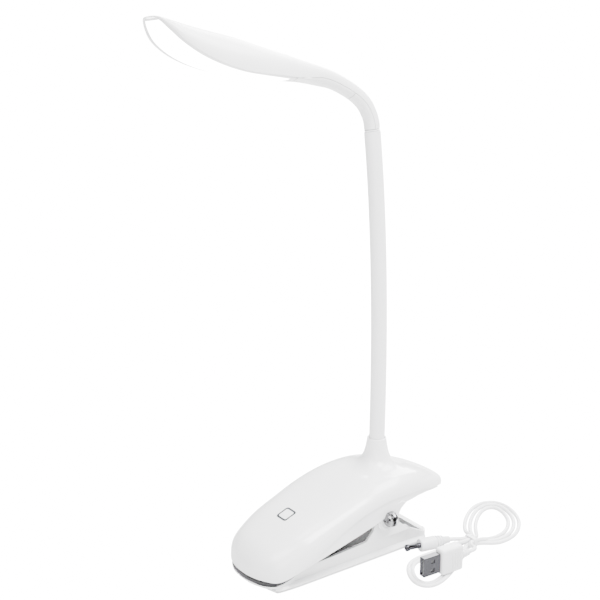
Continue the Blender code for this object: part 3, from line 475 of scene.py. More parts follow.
USB_LEAD = [(46.9, 75.0, 4.9), (48.8, 74.1, 5.1), (52.2, 73.3, 5.9), (56.8, 71.4, 7.4), (60.7, 67.6, 9.4),
            (62.5, 63.8, 10.5)]


def loop(middle, shift, start, end, reach=13.0):
    """One turn of the hank between two places in the tie, this far to the left of the middle line."""
    line = catmull_rom(middle, 6)
    run = [0.0]
    for a, b in zip(line, line[1:]):
        run.append(run[-1] + math.dist(a, b))
    points = []
    for index, (x, y) in enumerate(line):
        before, after = line[max(index - 1, 0)], line[min(index + 1, len(line) - 1)]
        along = Vector((after[0] - before[0], after[1] - before[1])).normalized()
        spot = Vector((x - shift * along.y, y + shift * along.x, GROUND))
        for anchor, first, distance in ((start, line[0], run[index]), (end, line[-1], run[-1] - run[index])):
            if distance >= reach:
                continue
            t = distance / reach
            share = 1 - t * t * (3 - 2 * t)
            pulled = Vector((x + anchor[0] - first[0], y + anchor[1] - first[1], anchor[2]))
            spot = spot.lerp(pulled, share)
        points.append(spot)
    return points


def strand(x, z, side):
    """A place at one end of the tie: side is +1 for its far end and -1 for its near end."""
    return (TIE.x + x, TIE.y + side * TIE_REACH, z)


def through_tie(x, z):
    """The place where a strand crosses the middle of the tie."""
    return Vector((TIE.x + x, TIE.y, z))


def cord_route():
    """The cord from one plug to the other, six times through the tie in two layers of three."""
    across = CORD_DIAMETER
    s1, s2, s3 = (-across, HIGH), (across, LOW), (-across, LOW)
    s4, s5, s6 = (0.0, LOW), (0.0, HIGH), (across, HIGH)
    route = [Vector(point) for point in (DC_REAR, *DC_LEAD, strand(*s1, -1))]
    for turn, (out, back, onward) in enumerate(((s1, s2, s3), (s3, s4, s5), (s5, s6, None))):
        route += loop(FAR_LOOP, FAR_SHIFTS[turn], strand(*out, 1), strand(*back, 1))
        route.append(through_tie(*back))
        if onward:
            route += loop(NEAR_LOOP, NEAR_SHIFTS[turn], strand(*back, -1), strand(*onward, -1))
            route.append(through_tie(*onward))
    return route + [Vector(point) for point in (strand(*s6, -1), *USB_LEAD, USB_REAR)]


def even(points, spacing):
    """The same line with points evenly spaced along it."""
    run = [0.0]
    for a, b in zip(points, points[1:]):
        run.append(run[-1] + (b - a).length)
    count = round(run[-1] / spacing)
    found, index = [], 0
    for k in range(count + 1):
        goal = run[-1] * k / count
        while index < len(run) - 2 and run[index + 1] < goal:
            index += 1
        share = (goal - run[index]) / max(run[index + 1] - run[index], 1e-9)
        found.append(points[index].lerp(points[index + 1], share))
    return found


def make_cord():
    """The charging cord as one curve, with its length in metres."""
    points = even(cord_route(), CORD_SPACING)
    for _ in range(SMOOTHING_PASSES):
        inner = [(a + b * 2 + c) / 4 for a, b, c in zip(points, points[1:], points[2:])]
        points = [points[0], *inner, points[-1]]
    fine = [Vector(p) for p in catmull_rom([tuple(p) for p in points], 2)]
    curve = bpy.data.curves.new("charging_cord", "CURVE")
    curve.dimensions = "3D"
    curve.bevel_depth = CORD_DIAMETER / 2 * MM
    curve.bevel_resolution = 4
    curve.use_fill_caps = True
    spline = curve.splines.new("POLY")
    spline.points.add(len(fine) - 1)
    for target, point in zip(spline.points, fine):
        target.co = (*mm(point), 1.0)
    spline.use_smooth = True
    curve.materials.append(CORD)
    item = bpy.data.objects.new("charging_cord", curve)
    bpy.context.scene.collection.objects.link(item)
    length = sum((b - a).length for a, b in zip(fine, fine[1:])) * MM
    print("cord length", round(length, 4))
    return item, length


def make_tie():
    """A flat strap round the six strands."""
    outline = []
    for cx, cz, start in ((1, 1, 0), (-1, 1, 90), (-1, -1, 180), (1, -1, 270)):
        for k in range(7):
            angle = math.radians(start + 15 * k)
            x = cx * TIE_HALF_WIDTH + TIE_ROUNDING * math.cos(angle)
            outline.append((x, cz * TIE_HALF_HEIGHT + TIE_ROUNDING * math.sin(angle)))
    section = ((-1.3, 0.12), (-1.0, 0.42), (1.0, 0.42), (1.3, 0.12), (1.2, -0.12), (-1.2, -0.12))
    points = []
    for y, grow in section:
        for x, z in outline:
            length = math.hypot(x, z)
            points.append((x * (1 + grow / length), y, z * (1 + grow / length)))
    faces = ring_faces(len(section), len(outline), closed=True)
    strap = make("tie_strap", points, faces, CORD)
    strap.matrix_world = Matrix.Translation(mm(TIE))
    return strap


cord, cord_length = make_cord()
strap = make_tie()


def plug_box(name, size, back, material, corner, x=0.0, z=0.0, segments=3):
    """A block in the USB plug's frame, its middle this far back from the mouth."""
    work = bmesh.new()
    bmesh.ops.create_cube(work, size=1.0)
    bmesh.ops.scale(work, vec=mm(size), verts=work.verts)
    mesh = bpy.data.meshes.new(name)
    work.to_mesh(mesh)
    work.free()
    mesh.materials.append(material)
    mesh.shade_smooth()
    item = bpy.data.objects.new(name, mesh)
    bpy.context.scene.collection.objects.link(item)
    item.matrix_world = USB_FRAME @ Matrix.Translation(mm((x, back, z)))
    if corner:
        bevel(item, corner, segments)
    return item


def make_usb():
    """The plug from its mouth to its strain relief, standing on edge."""
    shell = plug_box("usb_metal_shell", (4.5, 12.0, 12.0), 6.0, BLACK_PLATING, 0.35)
    cut_out(shell, plug_box("cutter_mouth", (3.9, 12.4, 11.4), 5.0, CHROME, 0.0))
    for z in (2.8, -2.8):
        cut_out(shell, plug_box("cutter_window", (2.0, 2.6, 2.2), 6.4, CHROME, 0.0, 2.4, z))
    shell.data.shade_flat()
    insert = plug_box("usb_tongue", (1.8, 10.0, 10.4), 5.7, DARK_PLASTIC, 0.2, 0.8)
    contacts = [plug_box(f"usb_contact_{k}", (0.14, 7.0, 1.1), 4.6, CHROME, 0.05, -0.14, (k - 1.5) * 2.5)
                for k in range(4)]
    body = plug_box("usb_moulding", (7.9, 16.0, 15.9), 20.3, MOULDED, 1.6, segments=5)
    ridges = [plug_box(f"usb_ridge_{k}", (8.5, 0.8, 10.0), 20.0 + 2.0 * k, MOULDED, 0.35) for k in range(4)]
    profile = [(0.0, 0.4), (2.9, 0.4), (2.85, -0.8), (2.3, -1.1), (2.3, -1.7), (2.7, -2.0), (2.6, -2.9),
               (2.1, -3.2), (2.1, -3.8), (2.45, -4.1), (2.35, -5.0), (1.9, -5.3), (1.9, -5.9), (2.1, -6.2),
               (1.9, -7.2), (0.0, -7.2)]
    relief = turned("usb_strain_relief", profile, MOULDED, 32, 50)
    turn = Matrix.Rotation(math.radians(90), 4, "X")
    relief.matrix_world = USB_FRAME @ Matrix.Translation(mm((0, 27.8, 0))) @ turn
    return [shell, insert, *contacts, body, *ridges, relief]


def make_dc():
    """The round plug: its moulding and its barrel."""
    rear, front = Vector(DC_REAR), Vector(DC_FRONT)
    length = (front - rear).length
    body = [(0.0, length - 0.4), (3.4, length - 0.4), (3.7, length), (4.0, length - 0.3),
            (4.2, length - 1.0), (4.2, 11.0)]
    for k in range(3):
        h = 10.6 - 1.9 * k
        r = 4.2 - 0.28 * k
        body += [(r, h), (r - 0.1, h - 0.2), (r - 0.75, h - 0.45), (r - 0.75, h - 1.0), (r - 0.2, h - 1.25)]
    body += [(3.2, 4.8), (2.5, 4.2), (2.1, 0.2), (1.9, 0.0), (0.0, 0.0)]
    plug = place(turned("dc_moulding", body, MOULDED, 40, 50), rear, front - rear)
    barrel = [(0.0, 2.0), (0.6, 2.0), (0.6, 12.4), (0.8, 12.6), (1.75, 12.6), (2.1, 12.2), (2.1, 10.6),
              (1.8, 10.2), (1.65, 10.0), (1.65, 5.6), (1.55, 5.5), (1.55, 5.1), (1.65, 5.0), (1.65, 0.0),
              (0.0, 0.0)]
    foot = rear + (front - rear) * ((length - 2.9) / length)
    metal = place(turned("dc_barrel", barrel, BLACK_PLATING, 40, 50), foot, front - rear)
    return [plug, metal]


usb_pieces = {item.name: item for item in make_usb()}
dc_plug, dc_barrel = make_dc()
plug_pieces = [*usb_pieces.values(), dc_plug, dc_barrel]
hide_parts("lead_tail_dc", "lead_tail_usb", "lead_coil_far", "lead_coil_near", "lead_waist")
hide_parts("lead_tie")
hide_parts("usb_shell")
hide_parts("usb_insert")
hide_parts("usb_plug_body")
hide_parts("dc_plug_body")
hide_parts("dc_plug_barrel")
for item in [cord, strap, *plug_pieces]:
    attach(item, "lower_jaw")

# ---------------------------------------------------------------- the clip's domed upper jaw

DOME_STATIONS = [
    (-60.5, 0.0, 9.0, 9.8), (-59.6, 8.5, 9.0, 14.0), (-56.6, 17.0, 9.0, 19.5), (-51.0, 24.2, 9.2, 25.0),
    (-42.0, 27.9, 12.6, 30.0), (-32.0, 29.5, 17.9, 34.8), (-18.0, 29.8, 25.4, 39.8), (-4.0, 30.0, 32.4, 44.4),
    (10.0, 29.6, 37.0, 48.4), (24.0, 28.6, 39.2, 51.0), (38.0, 26.8, 39.0, 51.6), (52.0, 23.4, 36.8, 49.2),
    (64.0, 19.0, 33.8, 45.4), (75.0, 14.2, 30.2, 40.2), (84.0, 9.4, 27.2, 34.8), (90.0, 4.8, 25.4, 30.0),
    (92.8, 0.0, 24.8, 26.2),
]
DOME_FULLNESS = 0.67
DOME_WALL = 1.8
DC_SOCKET = (-22.0, 46.0, 43.6)
DC_SOCKET_BACK = -13.2
FLARE_TOP = 68.0
FLARE_FOOT_RADIUS = 21.0
TOUCH_CENTRE_Y = -28.4
TOUCH_SLOPE = math.radians(20.5)
TOUCH_HALF = 4.7
TOUCH_LINE = 1.25
TOUCH_CORNER = 1.7
DOME_ROWS = catmull_rom(DOME_STATIONS, 8)
NECK_CURVE = [(0.0, 39.5, 62.0), (0.0, 40.8, 128.0), (-0.4, 39.6, 196.0), (-7.0, 37.6, 255.2)]


def dome_height(x, y):
    """The height of the dome's outside over a point of the ground plan."""
    width, rim, ridge = (read_line(DOME_ROWS, y, column) for column in (1, 2, 3))
    across = min(abs(x) / max(width, 1e-6), 1.0) ** (1 / DOME_FULLNESS)
    return rim + (ridge - rim) * max(1 - across * across, 0.0) ** (DOME_FULLNESS / 2)


def dome_grid(inset, columns=56):
    """The dome's rows, moved inwards by an inset that also draws in its two tips."""
    last = len(DOME_ROWS) - 1
    tip = 16
    grid = []
    for index, (y, width, rim, ridge) in enumerate(DOME_ROWS):
        moved = y + inset * (max(0.0, 1 - index / tip) - max(0.0, 1 - (last - index) / tip))
        if width <= 0:
            grid.append([(0.0, moved, (rim + ridge) / 2)])
            continue
        high = max(ridge - inset, rim + 0.3)
        half = max(width - inset, 0.2 * width)
        grid.append(arch((moved, rim), (moved, high), half, DOME_FULLNESS, columns))
    return grid


def flare_data():
    """The trumpet round the gooseneck's foot, standing on the dome and running out flush with it."""
    foot_y = NECK_CURVE[0][1]
    steps, count = 72, 30
    bore = [(5.15, -6.0), (5.15, 0.0), (5.2, 0.2), (5.32, 0.28), (5.55, 0.28), (5.75, 0.18), (5.85, 0.0)]
    lip = bore[-1][0]
    directions = [2 * math.pi * k / steps for k in range(steps)]
    points = []
    for radius, lift in bore:
        for angle in directions:
            x, y = radius * math.cos(angle), foot_y + radius * math.sin(angle)
            points.append((x, y, FLARE_TOP + lift))
    for k in range(1, count + 1):
        radius = lip + (FLARE_FOOT_RADIUS - lip) * (k / count)**1.9
        left = (FLARE_FOOT_RADIUS - radius) / (FLARE_FOOT_RADIUS - lip)
        for angle in directions:
            x, y = radius * math.cos(angle), foot_y + radius * math.sin(angle)
            ground = dome_height(x, y) - 0.03
            points.append((x, y, ground + (FLARE_TOP - ground) * (0.64 * left**9.5 + 0.36 * left**2.6)))
    return points, ring_faces(len(bore) + count, steps)


def make_dome():
    """The upper shell with its flare, and the hole for the socket."""
    shell = make("dome_part", *thick_grid_data(dome_grid(0.0), dome_grid(DOME_WALL)), WHITE, 50)
    hole = turned("socket_hole", [(0.0, 0.0), (4.0, 0.0), (4.0, 12.0), (0.0, 12.0)], WHITE, 40, 40)
    place(hole, DC_SOCKET, (-1, 0, 0))
    cut_out(shell, hole)
    bevel(shell, 0.3, 3, 60)
    flare = make("flare_part", *flare_data(), WHITE, 60)
    ride_as(join("upper_shell", [shell, flare]), "clip", "gloss_white_plastic", "base_shell")


def make_touch_inlay():
    """A thin ring in the shape of a rounded square, laid on the dome."""

    def square(size, radius):
        """A rounded square of this half width, as (x, y)."""
        points = []
        for k, (sx, sy) in enumerate(((1, 1), (-1, 1), (-1, -1), (1, -1))):
            for step in range(9):
                angle = math.radians(90 * k + 90 * step / 8)
                x = sx * (size - radius) + radius * math.cos(angle)
                points.append((x, sy * (size - radius) + radius * math.sin(angle)))
        return points

    outer = square(TOUCH_HALF, TOUCH_CORNER)
    inner = square(TOUCH_HALF - TOUCH_LINE, TOUCH_CORNER - TOUCH_LINE * 0.6)
    rings = ((outer, -0.3), (outer, 0.03), (inner, 0.03), (inner, -0.3))
    points = []
    for ring, lift in rings:
        for x, y in ring:
            y = TOUCH_CENTRE_Y + y * math.cos(TOUCH_SLOPE)
            points.append((x, y, dome_height(x, y) + lift))
    faces = ring_faces(len(rings), len(outer), closed=True)
    ride_as(make("touch_inlay", points, faces, INK), "clip", "grey_ring", "touch_ring")


def make_socket():
    """The charging socket, its face a little inside the curved shell."""
    profile = [(0.0, 6.5), (0.45, 6.4), (0.65, 6.0), (0.65, 0.6), (2.7, 0.6), (2.75, 7.2), (2.95, 7.5),
               (3.6, 7.5), (3.85, 7.2), (3.85, 0.3), (3.6, 0.0), (0.0, 0.0)]
    socket = turned("socket", profile, DARK_PLASTIC, 48, 40)
    place(socket, (DC_SOCKET_BACK, DC_SOCKET[1], DC_SOCKET[2]), (-1, 0, 0))
    ride_as(socket, "clip", "dark_plastic", "dc_socket")


make_dome()
make_socket()
make_touch_inlay()

# ---------------------------------------------------------------- the under-shell and the lower jaw

PIVOT = (27.5, 28.0)
JAW_LINE = [(-52.0, 9.4), (-46.0, 10.6), (-31.0, 16.2), (-4.0, 23.0), (16.0, 27.4), (30.0, 31.0),
            (41.0, 33.6), (55.0, 33.0), (66.0, 31.0), (80.0, 27.2), (88.0, 24.9)]
TRAY_STATIONS = [
    (-59.6, 6.0, 5.4), (-58.0, 13.0, 5.5), (-54.5, 19.2, 5.6), (-49.5, 23.0, 6.3), (-42.0, 24.2, 8.8),
    (-31.5, 24.6, 13.2), (-10.0, 24.6, 14.2), (13.0, 24.6, 15.4), (40.0, 24.6, 18.0), (48.0, 24.6, 14.2),
    (57.0, 24.3, 9.4), (60.5, 23.2, 8.6), (62.5, 20.0, 8.6),
]
COVER_RANGE = (-52.0, 83.0)
COVER_WALL = 1.9
UPPER_EAR = [(37.5, 31.4), (41.5, 34.4), (38.0, 36.0), (14.0, 33.0), (15.6, 29.6)]
LOWER_EAR_FRONT = [(8.0, 14.0), (13.0, 15.6), (18.0, 21.0)]
LOWER_EAR_REAR = [(38.0, 21.6), (42.0, 17.4), (47.0, 14.0)]
FOOT_HEIGHT = 2.9
CREASE_HEIGHT = 6.6
TRAY_FLOOR = 5.0
TRAY_WALL = 2.0
TRAY_LEAN = 2.6
REAR_WALL_START = 58.4
NOSE_START = -50.0
PAD_RANGE = (-57.0, 12.0)
PAD_THICKNESS = 1.5
PAD_INSIDE = 19.5


def make_cover():
    """The under-shell, its bottom along the jaw line, with the two ears and a raised lip on each."""
    rings = []
    for y, width, rim, _ in DOME_ROWS:
        if not COVER_RANGE[0] <= y <= COVER_RANGE[1]:
            continue
        low = read_line(JAW_LINE, y)
        flush = rim - 0.3 > low + 0.8
        outside = width - (0.5 if flush else DOME_WALL + 1.8)
        skirt = rim + 0.2 if rim - 0.3 > low + 0.25 else low + 0.8
        inside = outside - COVER_WALL
        rings.append(mirrored([(outside, low), (outside, skirt), (inside, skirt), (inside, low + 1.6)], y))
    cover = loft("cover_part", rings, WHITE)
    # Painted shade: the downward faces of the under-shell's lower edge, ahead of y = 20 mm, are coloured
    # dark.
    tint_faces(cover, RUBBER_AND_PAINTED_SHADE, lambda c, n: n.z < -0.6 and c.y < 20 and abs(c.x) < 24.5)
    bevel(cover, 0.35)
    items = [cover]
    for side in (-1, 1):
        ear = arc(PIVOT, 8.0, -178, -2, 28) + UPPER_EAR
        low, high = sorted((side * 25.0, side * 27.0))
        items.append(plate_x(f"ear_{side}", ear, low, high, WHITE, 0.35))
        rib = arc(PIVOT, 6.9, -178, -2, 28) + arc(PIVOT, 6.2, -2, -178, 28)
        low, high = sorted((side * 26.6, side * 27.35))
        items.append(plate_x(f"ear_rib_{side}", rib, low, high, WHITE, 0.2))
    ride_as(join("under_shell", items), "clip", "gloss_white_plastic", "base_cover")


def make_tray():
    """The lower jaw: a tray whose walls lean in to a crease above a plinth, and its two ears."""
    rings = []
    for y, width, top in catmull_rom(TRAY_STATIONS, 6):
        before_nose = max(0.0, NOSE_START - y)
        crease = min(CREASE_HEIGHT, top - 1.2)
        floor = TRAY_FLOOR if y < REAR_WALL_START else top - 0.2
        bottom = FOOT_HEIGHT + before_nose * 0.14
        lean = TRAY_LEAN * min(1.0, (top - crease) / 5.0) * min(1.0, (61.5 - y) / 8.0)
        plinth = width + 0.5 - before_nose * 0.3
        half = [(plinth - 0.6, bottom), (plinth, bottom + 0.5), (plinth, max(crease - 2.4, bottom + 0.6)),
                (width - lean, max(crease - 1.2, bottom + 0.8)), (width - lean, crease), (width, top),
                (width - TRAY_WALL, top), (width - TRAY_WALL - 0.2 - lean, min(floor, top - 0.2))]
        rings.append(mirrored(half, y))
    tray = loft("tray_part", rings, WHITE, 30)
    # Painted shade: the upward faces of the tray's floor are coloured dark.
    tint_faces(tray, RUBBER_AND_PAINTED_SHADE, lambda c, n: abs(c.x) < 21.5 and n.z > 0.6 and c.z < 6.4 and -58 < c.y < 57)
    # Painted shade: the inward faces of the tray's walls are coloured grey.
    tint_faces(tray, PAINTED_SHADE_GREY,
               lambda c, n: n.x * c.x < -5 and abs(n.x) > 0.6 and c.z > TRAY_FLOOR and -56 < c.y < 57)
    bevel(tray, 0.4)
    items = [tray]
    for side in (-1, 1):
        ear = LOWER_EAR_FRONT + arc(PIVOT, 7.5, 168, 8, 28) + LOWER_EAR_REAR
        low, high = sorted((side * 22.65, side * 24.58))
        items.append(plate_x(f"jaw_ear_{side}", ear, low, high, WHITE, 0.35))
    ride_as(join("lower_tray", items), "lower_jaw", "gloss_white_plastic", "lower_jaw")


def make_pads():
    """The rubber pads of both jaws and the pale foot under the tray."""
    rings = []
    for y, width, _, _ in DOME_ROWS:
        if not PAD_RANGE[0] <= y <= PAD_RANGE[1]:
            continue
        top = read_line(JAW_LINE, y) - 0.05
        half = min(width - 3.0, PAD_INSIDE if y > -30 else 23.0)
        low = top - PAD_THICKNESS
        rings.append([(half, y, low), (half, y, top), (-half, y, top), (-half, y, low)])
    upper = bevel(loft("upper_pad", rings, RUBBER_AND_PAINTED_SHADE), 0.3)
    ride_as(upper, "clip", "dark_rubber", "upper_grip_pad")
    rings = []
    for y, width, wall in catmull_rom(TRAY_STATIONS, 6):
        if y > -31.0:
            break
        top = read_line(JAW_LINE, y) - 1.7
        inside = min(width - 2.3, PAD_INSIDE)
        edge = width - 0.9 if top > wall + 0.7 else inside + 0.1
        shelf = min(wall + 0.1, top - 0.4)
        rings.append(mirrored([(inside, 5.2), (inside, shelf), (edge, shelf), (edge, top)], y))
    lower = bevel(loft("lower_pad", rings, RUBBER_AND_PAINTED_SHADE), 0.25)
    ride_as(lower, "lower_jaw", "dark_rubber", "lower_grip_pad")
    rows = [row for row in catmull_rom(TRAY_STATIONS, 6) if row[0] > -50.1]
    side = [(width - 2.6, y) for y, width, _ in rows]
    side.insert(0, (side[0][0] - 7.0, side[0][1] - 2.0))
    outline = side + [(-x, y) for x, y in reversed(side)]
    points = [(x, y, z) for z in (0.0, FOOT_HEIGHT) for x, y in outline]
    foot = bevel(make("foot", points, plate_faces(len(outline)), SILICONE), 0.5)
    ride_as(foot, "lower_jaw", "satin_white_silicone", "foot_pad")


NUT_RADIUS = 4.75
NUT_FLAT = 4.35
NUT_CORNER = 4.9
NUT_FACE = 27.3


def make_nuts():
    """A domed nut on a six-sided collar, at each end of the rod."""
    dome = [(0.0, 7.0)] + [(r, h + 2.8) for r, h in arc((0, 0), 4.2, 84, 8, 12)]
    collar = [(4.25, 3.2), (4.6, 3.0), (NUT_RADIUS, 2.6), (NUT_RADIUS, 0.35), (4.5, 0.0)]
    profile = dome + collar + [(2.3, 0.0), (2.3, 3.6), (0.0, 3.6)]
    for name, side in (("cap_nut_near", 1), ("cap_nut_far", -1)):
        # The nuts carry painted reflection bands in their colour.
        nut = turned(f"{name}_look", profile, NUT_PAINTED_REFLECTIONS, 6 * 8, 30)
        for vertex in nut.data.vertices:
            if math.hypot(vertex.co.x, vertex.co.y) / MM > 4.4:
                angle = math.atan2(vertex.co.y, vertex.co.x) % (math.pi / 3) - math.pi / 6
                reach = min(NUT_FLAT / max(math.cos(angle), 0.5), NUT_CORNER)
                vertex.co.x *= reach / NUT_RADIUS
                vertex.co.y *= reach / NUT_RADIUS
        place(nut, (side * NUT_FACE, *PIVOT), (side, 0, 0))
        ride_as(nut, "lower_jaw", "chrome", name)


def painted_reflection_chrome():
    """Chrome plating for a polished domed nut, with painted reflections: dark and light bands painted into
    its colour by the direction of its surface, fixed to its own shape.
    """
    material, shader = principled("painted_reflection_chrome", (0.5, 0.5, 0.52), 0.1, 1.0)
    tree = material.node_tree
    coordinates = add_node(tree, "ShaderNodeTexCoord")
    split = add_node(tree, "ShaderNodeSeparateXYZ")
    ramp = add_node(tree, "ShaderNodeValToRGB")
    remap = add_node(tree, "ShaderNodeMapRange", From_Min=-1.0)
    tree.links.new(coordinates.outputs["Normal"], split.inputs["Vector"])
    tree.links.new(split.outputs["X"], remap.inputs["Value"])
    tree.links.new(remap.outputs["Result"], ramp.inputs["Fac"])
    # Painted reflections: the brightness of each band, by the direction of the surface.
    painted_reflection_stops = [(0.0, 0.12), (0.18, 0.3), (0.3, 0.03), (0.44, 0.012), (0.55, 0.5), (0.64, 0.75),
             (0.76, 0.02), (0.88, 0.2), (1.0, 0.1)]
    while len(ramp.color_ramp.elements) < len(painted_reflection_stops):
        ramp.color_ramp.elements.new(0.5)
    for element, (position, value) in zip(ramp.color_ramp.elements, painted_reflection_stops):
        element.position = position
        element.color = (value, value, value * 1.03, 1.0)
    tree.links.new(ramp.outputs["Color"], shader.inputs["Base Color"])
    return material


SPRING_HALF_LENGTH = 9.0
SPRING_RADIUS = 5.6
SPRING_WIRE = 0.8
SPRING_ANGLES = (25.0, 1385.0)


def make_spring():
    """The torsion spring: a coil of wire round the pivot, with a straight leg at each end."""
    half, steps = SPRING_HALF_LENGTH, 170
    line = [Vector((-half, 52.0, 6.2)), Vector((-half, 40.5, 13.4))]
    for k in range(steps + 1):
        angle = math.radians(SPRING_ANGLES[0] + (SPRING_ANGLES[1] - SPRING_ANGLES[0]) * k / steps)
        y, z = PIVOT[0] + SPRING_RADIUS * math.cos(angle), PIVOT[1] + SPRING_RADIUS * math.sin(angle)
        line.append(Vector((-half + 2 * half * k / steps, y, z)))
    line += [Vector((half, 41.5, 31.2)), Vector((half, 54.0, 31.2))]
    spring = make("spring", *wire_data(line, SPRING_WIRE), STEEL, 50)
    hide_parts("torsion_spring")
    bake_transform(spring)


# The nuts' chrome, with reflections painted into its colour.
NUT_PAINTED_REFLECTIONS = painted_reflection_chrome()
make_spring()
make_cover()
make_tray()
make_pads()
make_nuts()

# ---------------------------------------------------------------- the gooseneck

SLEEVE_RADIUS = 4.8
SLEEVE_WALL = 1.0
SLEEVE_TOP = 0.9945
JOINT_PLACES = [0.12 + 0.162 * k for k in range(6)]


def bezier(t):
    """A point of the gooseneck's middle line, t from 0 at its foot to 1 at the head."""
    a, b, c, d = (Vector(point) for point in NECK_CURVE)
    s = 1 - t
    return s**3 * a + 3 * s * s * t * b + 3 * s * t * t * c + t**3 * d


def tube_between(name, first, last, rings, material):
    """A length of sleeve along the gooseneck's curve, with a wall."""
    outer, inner = [], []
    steps = 40
    for k in range(rings + 1):
        t = first + (last - first) * k / rings
        centre = bezier(t)
        along = (bezier(min(t + 0.004, 1.0)) - bezier(max(t - 0.004, 0.0))).normalized()
        side = Vector((1, 0, 0))
        side = (side - along * side.dot(along)).normalized()
        other = along.cross(side)
        for wall, radius in ((outer, SLEEVE_RADIUS), (inner, SLEEVE_RADIUS - SLEEVE_WALL)):
            for j in range(steps):
                angle = 2 * math.pi * j / steps
                wall.append(centre + side * radius * math.cos(angle) + other * radius * math.sin(angle))
    half = len(outer)
    faces = ring_faces(rings + 1, steps) + ring_faces(rings + 1, steps, half)
    for row in (0, rings):
        for j in range(steps):
            a, b = row * steps + j, row * steps + (j + 1) % steps
            faces.append((a, b, half + b, half + a))
    return make(name, outer + inner, faces, material, 40)


def make_sleeve():
    """Six lengths that meet midway between the joints, each bent round one joint."""
    middles = [0.0] + [(a + b) / 2 for a, b in zip(JOINT_PLACES, JOINT_PLACES[1:])] + [1.0]
    last = len(JOINT_PLACES) - 1
    for index, joint in enumerate(JOINT_PLACES):
        end = min(middles[index + 1], SLEEVE_TOP)
        piece = tube_between(f"sleeve_length_{index}", middles[index], end, 24, SILICONE)
        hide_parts(f"sleeve_{index}", *(["sleeve_6"] if index == last else []))
        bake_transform(piece)


make_sleeve()

# ---------------------------------------------------------------- the head

LEAF_STATIONS = [
    (-134.6, 77.6, -134.6, 77.6, 0.0, 0.0, 0.0), (-132.6, 78.1, -132.4, 76.4, 0.0, -0.2, 8.6),
    (-129.0, 77.0, -129.0, 70.8, 0.0, -0.3, 14.0), (-124.5, 75.2, -124.5, 64.7, 0.0, -0.4, 17.3),
    (-117.0, 72.3, -117.0, 58.1, 0.0, -0.5, 18.9), (-108.0, 69.1, -108.0, 52.5, 0.0, -0.6, 19.4),
    (-98.0, 65.8, -98.0, 47.9, 0.0, -0.7, 19.0), (-88.0, 62.4, -88.0, 44.5, 0.0, -0.9, 17.8),
    (-77.0, 58.1, -77.0, 41.9, 0.0, -1.2, 15.8), (-65.0, 53.4, -65.0, 39.5, -0.2, -1.7, 12.8),
    (-54.0, 49.3, -54.3, 37.3, -0.5, -2.0, 9.8), (-43.5, 45.0, -44.5, 35.8, -0.8, -2.6, 7.6),
]
NECK_STATIONS = [(-32.9, 35.0, 68.0, 5.4), (-23.2, 31.0, 60.0, 4.8), (-12.1, 24.0, 48.0, 4.6),
                 (-4.6, 16.9, 34.0, 4.5), (-1.0, 9.8, 19.0, 4.4), (0.1, 4.6, 6.0, 4.4),
                 (0.0, 1.1, 0.0, 4.4)]
HEAD_WALL = 1.3
HEAD_ROLL = math.radians(7.0)
HEAD_PITCH = math.radians(3.4)
LEAF_FULLNESS = 0.85
TIP_DROP = 0.35
PARTING_DROP = 0.8
FINE = 8
WINDOW_END = 10 * FINE
COVER_SPLIT = 14 * FINE
BORDER_COLUMNS = 6
HEAD_FRAME = (Matrix.Translation(mm(bezier(1.0))) @ Matrix.Rotation(-HEAD_ROLL, 4, "Y")
              @ Matrix.Rotation(HEAD_PITCH, 4, "X"))


def head_rows():
    """Rows of (ridge y, z, edge y, z, underside y, z, half width) from the leaf's tip to the neck's end."""
    leaf = [(ty, tz, by, bz, by + dy, bz + dz, width) for ty, tz, by, bz, dy, dz, width in LEAF_STATIONS]
    neck = []
    for y, z, angle, radius in NECK_STATIONS:
        normal = Vector((math.cos(math.radians(angle)), math.sin(math.radians(angle))))
        centre = Vector((y, z))
        edge, under = centre - normal * PARTING_DROP, centre - normal * radius
        neck.append((*(centre + normal * radius), *edge, *under, radius))
    return catmull_rom(leaf + neck, FINE)


HEAD_ROWS = head_rows()


def head_piece(item, slot, *nodes):
    """Tilts a finished piece with the head and puts it there."""
    item.matrix_world = HEAD_FRAME @ item.matrix_world
    ride_as(item, "head", slot, *nodes)


def row_run(first, last, gap=0.45):
    """Some of the head's rows, the first of them moved on by a gap."""
    rows = [list(row) for row in HEAD_ROWS[first:last + 1]]
    here, after = rows[0], rows[1]
    share = min(gap / math.dist(here[2:4], after[2:4]), 0.9)
    rows[0] = [a + (b - a) * share for a, b in zip(here, after)]
    return rows


def make_head_shell():
    """The leaf and the neck behind it, as one shell."""
    outer, inner = [], []
    for index, (ty, tz, by, bz, _, _, width) in enumerate(HEAD_ROWS):
        if width <= 0.01:
            outer.append([(0.0, ty, tz)])
            inner.append([(0.0, ty + HEAD_WALL, tz - HEAD_WALL * TIP_DROP)])
            continue
        outer.append(arch((by, bz), (ty, tz), width, LEAF_FULLNESS, 40))
        lowered = shifted((by, bz), (ty, tz), HEAD_WALL)
        slide = HEAD_WALL * max(0.0, 1 - index / (2 * FINE))
        row = arch((by, bz), lowered, max(width - HEAD_WALL, 0.7 * width), LEAF_FULLNESS, 40)
        inner.append([(x, y + slide, z - slide * TIP_DROP) for x, y, z in row])
    shell = make("leaf_shell", *thick_grid_data(outer, inner), HEAD_WHITE, 50)
    head_piece(bevel(shell, 0.25, 2, 60), "gloss_white_plastic", "head_shell")


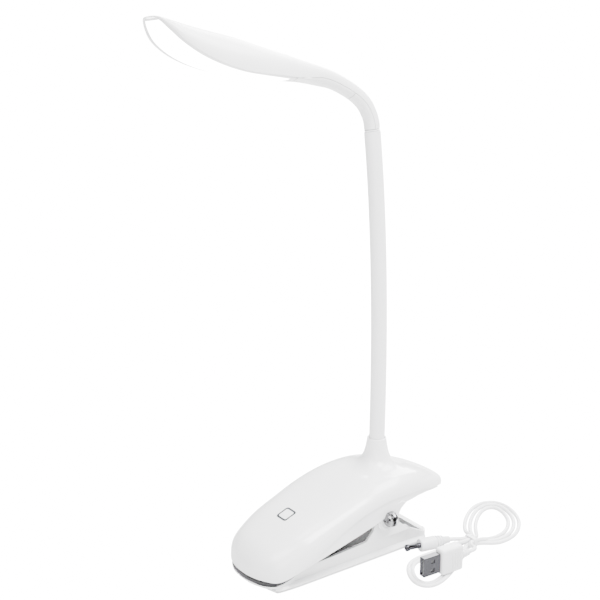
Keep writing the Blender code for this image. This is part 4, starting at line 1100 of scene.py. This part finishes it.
def make_window():
    """The opal window, glowing inside an unlit border."""
    rings = []
    for _, tz, by, bz, uy, uz, width in row_run(FINE // 2 + 2, WINDOW_END):
        half = max(width - HEAD_WALL - 0.12, 0.5)
        low = arch((by, bz - 0.05), (uy, uz - 0.05), half, 0.9, 32)
        wall = min(1.0, max(0.16 * (tz - bz), 0.2))
        rings.append(low + [(x, y, z + wall) for x, y, z in low][::-1])
    window = loft("window", rings, OPAL)
    window.data.materials.append(HEAD_WHITE)
    around, caps = len(rings[0]), 2
    first_lit, last_lit = caps + 3 * around, caps + (len(rings) - 4) * around
    for face in window.data.polygons:
        column = (face.index - caps) % around % (around // 2)
        across = BORDER_COLUMNS <= column <= around // 2 - BORDER_COLUMNS - 2
        if not (across and first_lit <= face.index < last_lit):
            face.material_index = 1
    head_piece(bevel(window, 0.12, 2), "opal_diffuser", "diffuser")


def make_neck_covers():
    """The two covers that close the neck from below."""
    for name, node, start, stop in (
            ("neck_underside_front", "neck_cover_front", WINDOW_END, COVER_SPLIT),
            ("neck_underside_rear", "neck_cover_rear", COVER_SPLIT, len(HEAD_ROWS) - 1)):
        outer, inner = [], []
        for _, _, by, bz, uy, uz, width in row_run(start, stop):
            low = shifted((uy, uz), (by, bz), 0.3)
            outer.append(arch(low, (uy, uz), width, 1.0, 32))
            inner.append(arch(low, shifted(low, (uy, uz), HEAD_WALL), width - HEAD_WALL, 1.0, 32))
        cover = make(name, *thick_grid_data(outer, inner), HEAD_WHITE, 50)
        head_piece(bevel(cover, 0.15, 2, 60), "gloss_white_plastic", node)


def make_end_ring():
    """The ring that ends the gooseneck, with a groove round it."""
    radius = SLEEVE_RADIUS - 0.05
    groove = [(radius, 0.3), (radius - 0.55, 0.12), (radius - 0.55, -0.25), (radius, -0.42)]
    profile = [(3.6, 0.75), (radius - 0.25, 0.75), (radius, 0.5), *groove,
               (radius, -0.95), (radius - 0.25, -1.2), (3.6, -1.2)]
    head_piece(turned("end_ring", profile, SILICONE, 48), "satin_white_silicone", "neck_ring")


make_head_shell()
make_window()
make_neck_covers()
make_end_ring()

# ---------------------------------------------------------------- CAD nodes that stay

STAYING = {"battery_cell": POUCH, "control_board": GREEN, "led_board": GREEN}
STAYING |= {node: STEEL for node in ("pivot_bolt", "touch_spring", "gooseneck_nut")}
STAYING |= {f"hose_{index}": STEEL for index in range(7)}
STAYING |= {f"cover_screw_{index}": STEEL for index in range(4)}
for node, material in STAYING.items():
    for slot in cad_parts[node].material_slots:
        slot.material = material
